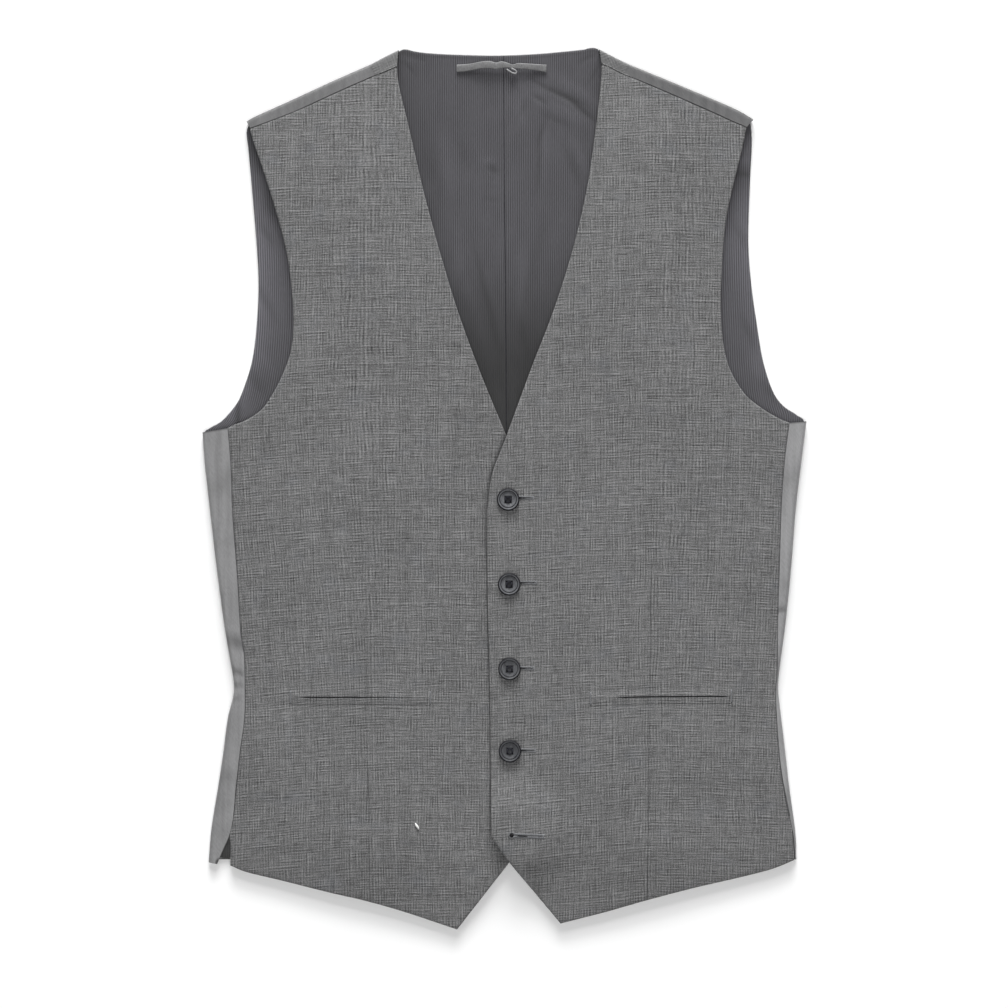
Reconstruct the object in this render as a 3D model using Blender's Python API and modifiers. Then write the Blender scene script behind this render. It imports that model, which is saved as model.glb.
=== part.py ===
# Suit waistcoat laid flat on its back, front up, in metres.
# X runs across, Y up the garment and Z away from the table.
# Left and right are as seen from above, so the left front is the one for the wearer's right side.
import bpy
import math
from mathutils import Vector

for old in list(bpy.data.objects):
    bpy.data.objects.remove(old, do_unlink=True)

MM = 0.001

# ---------------------------------------------------------------------------------------------
# Cloth: thickness of each layer, and how high the layers lie on each other
# ---------------------------------------------------------------------------------------------
BACK_CLOTH = 1.0 * MM
LINING_CLOTH = 1.0 * MM
FRONT_CLOTH = 2.2 * MM
SEAM_GAP = 0.3 * MM
FOLD_RADIUS = 3.0 * MM
LINING_Z = BACK_CLOTH + SEAM_GAP
LINING_TOP = LINING_Z + LINING_CLOTH
CHEST_LIFT = 1.7 * MM
SIDE_RISE = 70.0 * MM
SHOULDER_RISE = 60.0 * MM
HEM_DROP = 3.9 * MM
HEM_DROP_FROM = -255.0 * MM
HEM_DROP_LENGTH = 80.0 * MM
UNDERLAP_TOP = LINING_TOP + 0.4 * MM + FRONT_CLOTH
UNDERLAP_FADE = 48.0 * MM

# ---------------------------------------------------------------------------------------------
# Outlines in millimetres, seen from above
# ---------------------------------------------------------------------------------------------
# Side of the body, hem to underarm: the folded edge, and where the back's strip is sewn to the front.
LEFT_SIDE = (
    # fold_x, fold_y, seam_x, seam_y
    (-222.0, -280.1, -215.6, -281.3),
    (-219.9, -254.6, -205.0, -254.6),
    (-214.7, -222.4, -201.2, -222.4),
    (-211.0, -198.0, -198.4, -198.0),
    (-207.6, -172.0, -195.0, -172.0),
    (-202.9, -150.0, -194.6, -150.0),
    (-206.5, -124.1, -195.3, -124.1),
    (-209.7, -105.4, -198.0, -105.4),
    (-215.6, -61.9, -200.6, -61.9),
    (-220.9, -16.1, -204.0, -16.1),
    (-224.8, 18.4, -205.2, 18.4),
    (-226.5, 42.4, -207.4, 45.6),
)
RIGHT_SIDE = (
    (219.0, -277.9, 218.9, -277.9),
    (218.5, -261.0, 218.4, -261.0),
    (216.6, -244.9, 213.3, -244.9),
    (213.4, -222.4, 210.1, -222.4),
    (210.9, -199.9, 207.6, -199.9),
    (206.9, -166.1, 203.7, -166.1),
    (205.2, -150.0, 202.0, -150.0),
    (206.4, -133.9, 203.0, -133.9),
    (211.1, -97.9, 204.1, -97.9),
    (215.2, -56.6, 206.2, -56.6),
    (218.4, -16.1, 207.5, -16.1),
    (222.4, 18.4, 209.7, 18.4),
    (226.5, 50.6, 213.5, 49.6),
)
# Rows of the side tables at the hem, the top of the vent, the waist and the underarm.
LEFT_SIDE_MARKS = (0, 1, 5, 11)
RIGHT_SIDE_MARKS = (0, 2, 6, 12)
# Shoulder, armhole to neck: the folded edge, and the seam behind which the front begins.
LEFT_SHOULDER = (
    # fold_x, fold_y, seam_x, seam_y
    (-193.5, 275.6, -190.5, 270.5),
    (-184.9, 280.1, -181.8, 273.6),
    (-159.8, 291.4, -156.0, 283.5),
    (-127.1, 306.4, -123.4, 298.4),
    (-100.5, 318.1, -97.3, 309.9),
    (-88.5, 324.4, -86.2, 314.6),
    (-79.5, 328.9, -80.5, 317.1),
)
RIGHT_SHOULDER = (
    (186.6, 277.1, 181.5, 271.1),
    (174.8, 283.9, 171.0, 275.6),
    (157.9, 291.4, 154.3, 283.2),
    (122.2, 306.4, 118.9, 298.7),
    (93.0, 318.4, 89.6, 311.0),
    (79.5, 325.0, 79.3, 316.2),
    (69.8, 330.2, 73.1, 319.1),
)
# Row of the shoulder table where the neck band ends and the satin back begins.
BAND_ROW = 4
# Armhole edges between underarm and shoulder, without their end points.
LEFT_BACK_ARMHOLE = (
    # x, y
    (-219.9, 45.2), (-211.5, 50.4), (-202.0, 62.6), (-196.4, 73.9), (-189.4, 96.4), (-186.0, 123.0),
    (-184.6, 155.0), (-186.3, 186.4), (-190.1, 231.4), (-192.1, 253.9), (-193.3, 266.0),
)
RIGHT_BACK_ARMHOLE = (
    (220.5, 54.0), (209.0, 62.6), (201.2, 73.9), (194.0, 96.4), (189.2, 125.0), (185.2, 154.0),
    (183.0, 186.4), (184.3, 231.4), (185.7, 260.0),
)
LEFT_FRONT_ARMHOLE = (
    (-199.5, 51.4), (-177.8, 62.6), (-165.8, 85.1), (-159.4, 106.0), (-158.2, 133.9),
    (-162.8, 175.1), (-174.8, 220.1), (-189.0, 262.9),
)
RIGHT_FRONT_ARMHOLE = (
    (203.5, 54.0), (189.8, 62.6), (177.8, 73.9), (166.4, 96.4), (162.0, 130.0),
    (163.3, 174.0), (167.2, 208.9), (177.8, 253.9),
)
# Neck edge of the back, left fold to right fold, and the seam under the neck band.
NECK_EDGE = (
    (-76.5, 328.6), (-69.5, 328.7), (-62.0, 327.6), (-48.0, 326.5), (-21.0, 325.5),
    (-1.5, 325.4), (25.5, 326.6), (57.0, 329.5), (64.5, 330.2),
)
NECK_CENTRE_ROW = 5
BAND_SEAM_LEFT = ((-85.0, 309.5), (-63.0, 306.4), (-30.0, 304.6))
BAND_SEAM_RIGHT = ((78.0, 310.2), (60.0, 306.9), (30.0, 304.9))
BAND_SEAM_CENTRE_Y = 304.1
CENTRE_BACK_TOP_X = -0.7
CENTRE_BACK_HEM_X = 4.5
BACK_HEM_Y = -277.9
# Free side edge of each front below the side vent, hem corner to vent top.
LEFT_VENT_EDGE = ((-205.6, -282.4), (-205.4, -267.0))
RIGHT_VENT_EDGE = ((217.4, -278.2), (216.0, -261.0))
# Hems from the side corner to the point.
LEFT_HEM = (
    (-205.6, -282.4), (-193.0, -287.4), (-167.2, -293.6), (-132.8, -302.2),
    (-105.0, -308.6), (-74.2, -317.4), (-35.6, -330.4),
)
RIGHT_HEM = (
    (217.4, -278.2), (201.8, -284.6), (179.2, -290.6), (140.2, -299.6),
    (105.8, -308.6), (78.0, -316.6), (42.0, -325.9),
)
# Centre edge of each front: point, corner over the cutaway, button edge, break of the neckline.
LEFT_CUTAWAY = ((-35.6, -330.4), (18.8, -263.4))
LEFT_BUTTON_EDGE = ((18.8, -263.4), (18.8, -4.9))
LEFT_NECKLINE = (
    (18.8, -4.9), (1.5, 39.4), (-18.8, 88.9), (-35.2, 133.9), (-48.8, 178.9),
    (-60.8, 223.9), (-71.2, 268.9), (-79.0, 302.0), (-80.5, 316.8),
)
RIGHT_CUTAWAY = ((42.0, -325.9), (-9.8, -261.8))
RIGHT_BUTTON_EDGE = ((-9.8, -261.8), (-10.3, -217.9), (-11.0, -150.4), (-12.8, -73.1), (-12.8, -15.4))
RIGHT_NECKLINE = (
    (-12.8, -15.4), (-9.2, 11.2), (0.8, 37.9), (19.5, 88.9), (36.8, 133.9), (51.0, 178.9),
    (61.5, 223.9), (68.2, 268.9), (72.0, 301.9), (73.1, 318.8),
)

# Grid of each piece: rows up the garment and columns across it.
VENT_ROWS = 2
HIP_ROWS = 5
WAIST_ROWS = 9
SIDE_ROWS = VENT_ROWS + HIP_ROWS + WAIST_ROWS
ARMHOLE_ROWS = 11
ARMHOLE_GRADING = 1.5
SHOULDER_COLUMNS = 5
NECK_COLUMNS = 6
FOLD_COLUMNS = 9
SHOULDER_FOLD_ROWS = 6
FRONT_COLUMNS = 12
CUTAWAY_ROWS = 3
BUTTON_ROWS = 13
NECKLINE_ROWS = 12

# Pockets: a pair of jets each, lying on the front.
JET_WIDTH = 5.0 * MM
JET_CLOTH = 1.0 * MM
JET_COLUMNS = 12
POCKET_SLIT = 0.4 * MM
POCKETS = (
    # name, slit line from end to end
    ("left", ((-160.5, -156.7), (-108.0, -156.7), (-55.0, -157.2))),
    ("right", ((64.0, -157.8), (109.5, -156.4), (170.3, -156.2))),
)

# Hanger loop inside the back of the neck.
LOOP_WIDTH = 5.6 * MM
LOOP_CLOTH = 1.0 * MM
LOOP_LINE = (
    # x, y, height over the lining
    (-36.0, 315.6, 0.3), (-30.0, 315.7, 0.3), (-18.0, 317.4, 1.3), (-3.0, 317.4, 1.9),
    (5.2, 316.4, 1.5), (14.0, 316.9, 1.7), (24.0, 316.2, 0.9), (28.0, 315.7, 0.3), (31.5, 315.5, 0.3),
)
LOOP_COLUMNS = 18

# Buttons: four on the overlapping front and the undone fifth under it.
BUTTON_RADIUS = 8.0 * MM
BUTTON_HEIGHT = 3.0 * MM
BUTTON_RIM = 2.3 * MM
BUTTON_WELL = 2.0 * MM
BUTTON_STEPS = 24
BUTTON_HOLE_RADIUS = 0.85 * MM
BUTTON_HOLE_OFFSET = 1.35 * MM
BUTTON_CLEARANCE = 0.35 * MM
BUTTONS = ((2.7, -7.9), (3.5, -71.3), (3.7, -134.6), (4.0, -196.1))
HIDDEN_BUTTON = (5.2, -259.3)
HIDDEN_BUTTON_LIFT = 3.6 * MM
HIDDEN_BUTTON_FLAT = 17.0 * MM
HIDDEN_BUTTON_FADE = 34.0 * MM


# ---------------------------------------------------------------------------------------------
# Curves and patches
# ---------------------------------------------------------------------------------------------
def in_metres(rows):
    """Table rows of plan points as vectors."""
    return [Vector((row[0] * MM, row[1] * MM)) for row in rows]


def ease(value):
    """Smooth step from 0 to 1."""
    value = min(1.0, max(0.0, value))
    return value * value * (3.0 - 2.0 * value)


def smooth_line(points, spans=12):
    """Catmull-Rom curve through the points."""
    points = [Vector(p) for p in points]
    if len(points) == 2:
        return points
    ends = [2.0 * points[0] - points[1]] + points + [2.0 * points[-1] - points[-2]]
    line = []
    for a, b, c, d in zip(ends, ends[1:], ends[2:], ends[3:]):
        for step in range(spans):
            t = step / spans
            line.append(
                0.5 * (2.0 * b + (c - a) * t + (2.0 * a - 5.0 * b + 4.0 * c - d) * t * t
                       + (3.0 * b - a - 3.0 * c + d) * t * t * t)
            )
    line.append(points[-1])
    return line


def spaced(points, count, grading=1.0):
    """The smooth curve through the points, cut into equal lengths, or closer at its start."""
    line = smooth_line(points)
    reach = [0.0]
    for a, b in zip(line, line[1:]):
        reach.append(reach[-1] + (b - a).length)
    result = []
    span = 0
    for step in range(count + 1):
        want = reach[-1] * (step / count) ** grading
        while span < len(reach) - 2 and reach[span + 1] < want:
            span += 1
        part = (want - reach[span]) / max(reach[span + 1] - reach[span], 1e-12)
        result.append(line[span].lerp(line[span + 1], min(1.0, part)))
    return result


def coons(bottom, top, left, right):
    """Rows of plan points that fill four edges; bottom and top run left to right, the sides run up."""
    columns = len(bottom) - 1
    rows = len(left) - 1
    grid = []
    for j in range(rows + 1):
        v = j / rows
        row = []
        for i in range(columns + 1):
            u = i / columns
            sides = left[j] * (1 - u) + right[j] * u
            ends = bottom[i] * (1 - v) + top[i] * v
            corners = (bottom[0] * (1 - u) + bottom[-1] * u) * (1 - v) + (top[0] * (1 - u) + top[-1] * u) * v
            row.append(sides + ends - corners)
        grid.append(row)
    return grid


def at_height(rows, y):
    """X of a table outline (x, y, ...) at a height along the garment."""
    rows = sorted(rows, key=lambda row: row[1])
    if y <= rows[0][1] * MM:
        return rows[0][0] * MM
    for low, high in zip(rows, rows[1:]):
        if y <= high[1] * MM:
            part = (y / MM - low[1]) / (high[1] - low[1])
            return (low[0] + (high[0] - low[0]) * part) * MM
    return rows[-1][0] * MM


def at_width(rows, x):
    """Y of a table outline (x, y, ...) at a place across the garment."""
    flipped = [(row[1], row[0]) for row in rows]
    return at_height(flipped, x)


# ---------------------------------------------------------------------------------------------
# Height of the upper layer
# ---------------------------------------------------------------------------------------------
def body_height(x, y):
    """Top of the upper layer as it lies over the back, before laps, hems and buttons."""
    if x < 0:
        inside = x - at_height(LEFT_SIDE, y)
        below = at_width(LEFT_SHOULDER, x) - y
    else:
        inside = at_height(RIGHT_SIDE, y) - x
        below = at_width(RIGHT_SHOULDER, x) - y
    if inside < FOLD_RADIUS:
        reach = FOLD_RADIUS - max(inside, 0.0)
        return FOLD_RADIUS + math.sqrt(FOLD_RADIUS * FOLD_RADIUS - reach * reach)
    lift = ease((inside - FOLD_RADIUS) / SIDE_RISE) * ease((below - FOLD_RADIUS) / SHOULDER_RISE)
    return 2.0 * FOLD_RADIUS + CHEST_LIFT * lift


def hem_drop(x, y):
    """How far the front has come down past the back's hem."""
    if x < 0:
        inside = x - at_height(LEFT_SIDE, y)
    else:
        inside = at_height(RIGHT_SIDE, y) - x
    towards_centre = 0.35 + 0.65 * ease(inside / SIDE_RISE)
    return HEM_DROP * ease((HEM_DROP_FROM - y) / HEM_DROP_LENGTH) * towards_centre


def over_height(x, y):
    """Top of the front that laps over, raised where the hidden button lies under it."""
    reach = math.hypot(x - HIDDEN_BUTTON[0] * MM, y - HIDDEN_BUTTON[1] * MM)
    lift = HIDDEN_BUTTON_LIFT * ease(1.0 - (reach - HIDDEN_BUTTON_FLAT) / HIDDEN_BUTTON_FADE)
    return body_height(x, y) - hem_drop(x, y) + lift


def lap_edge(y):
    """X of the edge of the overlapping front at a height along the garment."""
    return at_height(RIGHT_CUTAWAY + RIGHT_BUTTON_EDGE[1:] + RIGHT_NECKLINE[1:], y)


def under_height(x, y):
    """Top of the front that goes under: it comes down onto the lining beside the lap."""
    free = body_height(x, y) - hem_drop(x, y)
    low = UNDERLAP_TOP - 1.2 * MM * ease((BACK_HEM_Y * MM - y) / (40.0 * MM))
    lap = ease(1.0 - (lap_edge(y) - x - 4.0 * MM) / UNDERLAP_FADE)
    return free + (min(low, free) - free) * lap


# ---------------------------------------------------------------------------------------------
# Folded edges
# ---------------------------------------------------------------------------------------------
def fold_point(edge, seam, part):
    """Point on the outside of a fold: part 0 is where it leaves the table, 1 is at the seam on top."""
    inward = seam - edge
    depth = inward.length
    inward = inward / depth
    half_turn = math.pi * FOLD_RADIUS
    if depth < FOLD_RADIUS:
        length = FOLD_RADIUS * (math.pi - math.asin((FOLD_RADIUS - depth) / FOLD_RADIUS))
    else:
        length = half_turn + depth - FOLD_RADIUS
    along = length * part
    if along <= half_turn:
        angle = along / FOLD_RADIUS
        flat = edge + inward * FOLD_RADIUS * (1.0 - math.sin(angle))
        return Vector((flat.x, flat.y, FOLD_RADIUS * (1.0 - math.cos(angle))))
    flat = edge + inward * (FOLD_RADIUS + along - half_turn)
    return Vector((flat.x, flat.y, body_height(flat.x, flat.y)))


def fold_grid(edges, seams, columns):
    """Rows of points round a fold, one row for each pair of edge and seam points."""
    rows = []
    for edge, seam in zip(edges, seams):
        rows.append([fold_point(edge, seam, (column / columns) ** 1.15) for column in range(columns + 1)])
    return rows


def fold_foot(edges, seams, inset=0.0):
    """Line where a fold leaves the table, or one that much further in."""
    return [edge + (seam - edge).normalized() * (FOLD_RADIUS + inset) for edge, seam in zip(edges, seams)]


# ---------------------------------------------------------------------------------------------
# Objects
# ---------------------------------------------------------------------------------------------
collection = bpy.data.collections.new("suit_waistcoat")
bpy.context.scene.collection.children.link(collection)
cutters = bpy.data.collections.new("cutters")
bpy.context.scene.collection.children.link(cutters)


def material(name, color, roughness):
    made = bpy.data.materials.new(name)
    made.use_nodes = True
    shader = made.node_tree.nodes["Principled BSDF"]
    shader.inputs["Base Color"].default_value = (*color, 1.0)
    shader.inputs["Roughness"].default_value = roughness
    shader.inputs["Metallic"].default_value = 0.0
    return made


def new_object(name, vertices, faces, paint, group=collection):
    mesh = bpy.data.meshes.new(name)
    mesh.from_pydata([tuple(v) for v in vertices], [], faces)
    made = bpy.data.objects.new(name, mesh)
    group.objects.link(made)
    if paint:
        mesh.materials.append(paint)
    return made


def cloth(name, grids, thickness, paint):
    """Wall of cloth behind the outer surface given by grids that share their edge points."""
    vertices = []
    faces = []
    known = {}

    def index(point):
        key = (round(point.x * 1e6), round(point.y * 1e6), round(point.z * 1e6))
        if key not in known:
            known[key] = len(vertices)
            vertices.append(point)
        return known[key]

    for grid in grids:
        for low, high in zip(grid, grid[1:]):
            for i in range(len(low) - 1):
                faces.append([index(low[i]), index(low[i + 1]), index(high[i + 1]), index(high[i])])
    made = new_object(name, vertices, faces, paint)
    wall = made.modifiers.new("wall", "SOLIDIFY")
    wall.thickness = thickness
    wall.offset = -1.0
    wall.use_even_offset = True
    wall.use_quality_normals = True
    return made


def lifted(grid, height):
    """Plan points raised by a height rule or to one height."""
    if callable(height):
        return [[Vector((p.x, p.y, height(p.x, p.y))) for p in row] for row in grid]
    return [[Vector((p.x, p.y, height)) for p in row] for row in grid]


def turned(grid):
    """The same grid with its outside on the other side."""
    return [list(reversed(row)) for row in grid]


wool = material("front_wool", (0.168, 0.168, 0.170), 0.9)
satin = material("back_satin", (0.270, 0.270, 0.278), 0.45)
stripe = material("lining_stripe", (0.100, 0.098, 0.110), 0.6)
horn = material("button_horn", (0.035, 0.037, 0.042), 0.35)


# ---------------------------------------------------------------------------------------------
# Back: two satin panels, each wrapped forward at the side and shoulder, with a neck band of front cloth
# ---------------------------------------------------------------------------------------------
def side_lines(table, marks):
    """Fold and seam lines of a side: rows along the vent, the hip and the waist up to the underarm."""
    fold = []
    seam = []
    for first, last, count in zip(marks, marks[1:], (VENT_ROWS, HIP_ROWS, WAIST_ROWS)):
        rows = table[first:last + 1]
        skip = 1 if fold else 0
        fold += spaced(in_metres(rows), count)[skip:]
        seam += spaced(in_metres([(row[2], row[3]) for row in rows]), count)[skip:]
    return fold, seam


def shoulder_lines(table, first, last, columns):
    """Fold and seam lines of a shoulder between two rows of its table."""
    fold = spaced(in_metres(table[first:last + 1]), columns)
    seam = spaced(in_metres([(row[2], row[3]) for row in table[first:last + 1]]), columns)
    return fold, seam


def pull_back(fold, seam, end, gap):
    """Both shoulder lines shortened at one end, for the gap where the band meets the satin."""
    along = (fold[1] - fold[0]).normalized() if end == 0 else (fold[-2] - fold[-1]).normalized()
    fold[end] = fold[end] + along * gap
    seam[end] = seam[end] + along * gap


def centre_back(y, side):
    """Point beside the centre back seam at a height along the garment."""
    part = (y - BACK_HEM_Y * MM) / ((BAND_SEAM_CENTRE_Y - BACK_HEM_Y) * MM)
    x = (CENTRE_BACK_HEM_X + (CENTRE_BACK_TOP_X - CENTRE_BACK_HEM_X) * part) * MM
    return Vector((x + side * SEAM_GAP / 2, y))


def band_seam_line(shoulder, table):
    """Seam under the neck band, from the shoulder fold to the centre back."""
    fold, seam = shoulder_lines(shoulder, BAND_ROW, len(shoulder) - 1, 1)
    middle = centre_back(BAND_SEAM_CENTRE_Y * MM, 0)
    return spaced([fold_foot(fold, seam)[0]] + in_metres(table) + [middle], NECK_COLUMNS)


def back_panel(name, side, marks, shoulder, armhole, band_seam, mirror):
    fold, seam = side_lines(side, marks)
    top_fold, top_seam = shoulder_lines(shoulder, 0, BAND_ROW, SHOULDER_COLUMNS)
    pull_back(top_fold, top_seam, -1, SEAM_GAP)
    foot = fold_foot(fold, seam)
    top_foot = fold_foot(top_fold, top_seam)
    arm = spaced([foot[-1]] + in_metres(armhole) + [top_foot[0]], ARMHOLE_ROWS, ARMHOLE_GRADING)
    outer = foot + arm[1:]
    seam_top = centre_back(BAND_SEAM_CENTRE_Y * MM - SEAM_GAP, 1 if mirror else -1)
    neck = [p - Vector((0.0, SEAM_GAP)) for p in band_seam_line(shoulder, band_seam)]
    top = top_foot + neck[1:-1] + [seam_top]
    hem_end = centre_back(BACK_HEM_Y * MM, 1 if mirror else -1)
    hem_bend = foot[0].lerp(hem_end, 0.08)
    hem_bend.y = BACK_HEM_Y * MM
    bottom = spaced([foot[0], hem_bend, hem_end], SHOULDER_COLUMNS + NECK_COLUMNS)
    centre = spaced([hem_end, seam_top], SIDE_ROWS + ARMHOLE_ROWS)
    flat = lifted(coons(bottom, top, outer, centre), 0.0)
    side_fold = fold_grid(fold, seam, FOLD_COLUMNS)
    shoulder_fold = fold_grid(top_fold, top_seam, SHOULDER_FOLD_ROWS)
    if mirror:
        grids = [flat, turned(side_fold), turned(shoulder_fold)]
    else:
        grids = [turned(flat), side_fold, shoulder_fold]
    return cloth(name, grids, BACK_CLOTH, satin)


back_panel(
    "back_left", LEFT_SIDE, LEFT_SIDE_MARKS, LEFT_SHOULDER, LEFT_BACK_ARMHOLE, BAND_SEAM_LEFT, False,
)
back_panel(
    "back_right", RIGHT_SIDE, RIGHT_SIDE_MARKS, RIGHT_SHOULDER, RIGHT_BACK_ARMHOLE, BAND_SEAM_RIGHT, True,
)

# The neck band runs from one shoulder seam, over the fold and round the back of the neck, to the other.
BAND_ROWS = 3
BAND_END_ROW = len(LEFT_SHOULDER) - 1
band_left_fold, band_left_seam = shoulder_lines(LEFT_SHOULDER, BAND_ROW, BAND_END_ROW, BAND_ROWS)
band_right_fold, band_right_seam = shoulder_lines(RIGHT_SHOULDER, BAND_ROW, BAND_END_ROW, BAND_ROWS)
band_left_foot = fold_foot(band_left_fold, band_left_seam)
band_right_foot = fold_foot(band_right_fold, band_right_seam)
band_low = band_seam_line(LEFT_SHOULDER, BAND_SEAM_LEFT)
band_low += band_seam_line(RIGHT_SHOULDER, BAND_SEAM_RIGHT)[-2::-1]
band_high = spaced([band_left_foot[-1]] + in_metres(NECK_EDGE) + [band_right_foot[-1]], 2 * NECK_COLUMNS)
band_flat = coons(band_low, band_high, band_left_foot, band_right_foot)
cloth(
    "back_neck_band",
    [
        turned(lifted(band_flat, 0.0)),
        fold_grid(band_left_fold, band_left_seam, SHOULDER_FOLD_ROWS),
        turned(fold_grid(band_right_fold, band_right_seam, SHOULDER_FOLD_ROWS)),
    ],
    BACK_CLOTH,
    wool,
)


# ---------------------------------------------------------------------------------------------
# Back lining: two striped panels inside the back, seamed at the centre, seen in the neck and armholes
# ---------------------------------------------------------------------------------------------
LINING_INSET = 1.2 * MM
LINING_ROWS = 22
LINING_COLUMNS = 6


def back_lining(name, side, marks, shoulder, armhole, neck, mirror):
    sign = -1.0 if mirror else 1.0
    fold, seam = side_lines(side, marks)
    foot = fold_foot(fold, seam, LINING_INSET)
    top_fold, top_seam = shoulder_lines(shoulder, 0, len(shoulder) - 1, 6)
    top_foot = fold_foot(top_fold, top_seam, LINING_INSET)
    tip = top_foot[0] + Vector((LINING_INSET * sign, 0.0))
    arm = [p + Vector((LINING_INSET * sign, 0.0)) for p in in_metres(armhole)]
    outer = spaced(foot[1:] + arm + [tip], LINING_ROWS)
    outer[0].y = BACK_HEM_Y * MM + LINING_INSET
    drop = Vector((0.0, -LINING_INSET))
    neck_top = centre_back(NECK_EDGE[NECK_CENTRE_ROW][1] * MM - LINING_INSET, -sign)
    neck_line = [p + drop for p in neck]
    top = [tip] + top_foot[1:-1] + spaced([top_foot[-1]] + neck_line + [neck_top], 5)
    bottom = spaced([outer[0], centre_back(outer[0].y, -sign)], len(top) - 1)
    centre = spaced([bottom[-1], neck_top], LINING_ROWS)
    flat = lifted(coons(bottom, top, outer, centre), LINING_TOP)
    return cloth(name, [turned(flat) if mirror else flat], LINING_CLOTH, stripe)


neck_points = in_metres(NECK_EDGE)
back_lining(
    "back_lining_left", LEFT_SIDE, LEFT_SIDE_MARKS, LEFT_SHOULDER, LEFT_BACK_ARMHOLE,
    neck_points[1:NECK_CENTRE_ROW], False,
)
back_lining(
    "back_lining_right", RIGHT_SIDE, RIGHT_SIDE_MARKS, RIGHT_SHOULDER, RIGHT_BACK_ARMHOLE,
    neck_points[:NECK_CENTRE_ROW:-1], True,
)


# ---------------------------------------------------------------------------------------------
# Fronts: wool over its interlining; the right one laps over the left one
# ---------------------------------------------------------------------------------------------
def front_plan(side, marks, vent, armhole, shoulder, cutaway, button_edge, neckline, hem, sign):
    fold, seam = side_lines(side, marks)
    beside = [point + Vector((sign * SEAM_GAP, 0.0)) for point in seam[VENT_ROWS:]]
    outer_side = spaced(in_metres(vent) + beside[:1], VENT_ROWS)[:-1] + beside
    fold, seam = shoulder_lines(shoulder, 0, len(shoulder) - 1, FRONT_COLUMNS)
    top = [s + (s - f).normalized() * SEAM_GAP for f, s in zip(fold, seam)]
    outer_arm = spaced([outer_side[-1]] + in_metres(armhole) + [top[0]], NECKLINE_ROWS, ARMHOLE_GRADING)
    outer = outer_side + outer_arm[1:]
    neck_rows = in_metres(neckline)
    neck_rows[-1] = top[-1]
    inner = spaced(in_metres(cutaway), CUTAWAY_ROWS)
    inner += spaced(in_metres(button_edge), BUTTON_ROWS)[1:]
    inner += spaced(neck_rows, NECKLINE_ROWS)[1:]
    bottom = spaced(in_metres(hem), FRONT_COLUMNS)
    return coons(bottom, top, outer, inner)


under_plan = front_plan(
    LEFT_SIDE, LEFT_SIDE_MARKS, LEFT_VENT_EDGE, LEFT_FRONT_ARMHOLE, LEFT_SHOULDER,
    LEFT_CUTAWAY, LEFT_BUTTON_EDGE, LEFT_NECKLINE, LEFT_HEM, 1.0,
)
over_plan = front_plan(
    RIGHT_SIDE, RIGHT_SIDE_MARKS, RIGHT_VENT_EDGE, RIGHT_FRONT_ARMHOLE, RIGHT_SHOULDER,
    RIGHT_CUTAWAY, RIGHT_BUTTON_EDGE, RIGHT_NECKLINE, RIGHT_HEM, -1.0,
)
cloth("front_left_under", [lifted(under_plan, under_height)], FRONT_CLOTH, wool)
cloth("front_right_over", [turned(lifted(over_plan, over_height))], FRONT_CLOTH, wool)


# ---------------------------------------------------------------------------------------------
# Pocket jets: an upper and a lower one on each front
# ---------------------------------------------------------------------------------------------
def jet(name, line, sign, rule):
    """Strip of cloth beside the slit, made from the front's own points and moved out."""
    slit = [p + Vector((0.0, sign * POCKET_SLIT / 2)) for p in spaced(in_metres(line), JET_COLUMNS)]
    edge = [p + Vector((0.0, sign * JET_WIDTH)) for p in slit]
    rows = [slit, edge] if sign > 0 else [edge, slit]
    raised = lifted(rows, lambda x, y: rule(x, y) + SEAM_GAP + JET_CLOTH)
    return cloth(name, [raised], JET_CLOTH, wool)


for pocket_name, pocket_line in POCKETS:
    pocket_rule = under_height if pocket_name == "left" else over_height
    jet("jet_" + pocket_name + "_upper", pocket_line, 1.0, pocket_rule)
    jet("jet_" + pocket_name + "_lower", pocket_line, -1.0, pocket_rule)


# ---------------------------------------------------------------------------------------------
# Hanger loop: a satin tape sewn down at both ends and standing off between them
# ---------------------------------------------------------------------------------------------
loop_line = spaced([Vector((x * MM, y * MM, z * MM)) for x, y, z in LOOP_LINE], LOOP_COLUMNS)
loop_rows = []
for sign in (-1.0, 1.0):
    loop_rows.append([
        Vector((p.x, p.y + sign * LOOP_WIDTH / 2, LINING_TOP + p.z + LOOP_CLOTH)) for p in loop_line
    ])
cloth("hanger_loop", [loop_rows], LOOP_CLOTH, satin)


# ---------------------------------------------------------------------------------------------
# Buttons: turned, with a raised rim, a well and four holes
# ---------------------------------------------------------------------------------------------
BUTTON_PROFILE = (
    # radius, height
    (0.0, 0.0),
    (6.4 * MM, 0.0),
    (BUTTON_RADIUS, 1.1 * MM),
    (BUTTON_RADIUS - 0.2 * MM, 2.3 * MM),
    (BUTTON_RADIUS - 1.0 * MM, BUTTON_HEIGHT),
    (BUTTON_RADIUS - BUTTON_RIM, BUTTON_HEIGHT - 0.2 * MM),
    (BUTTON_RADIUS - BUTTON_RIM - 0.7 * MM, BUTTON_WELL),
    (0.0, BUTTON_WELL),
)


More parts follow.
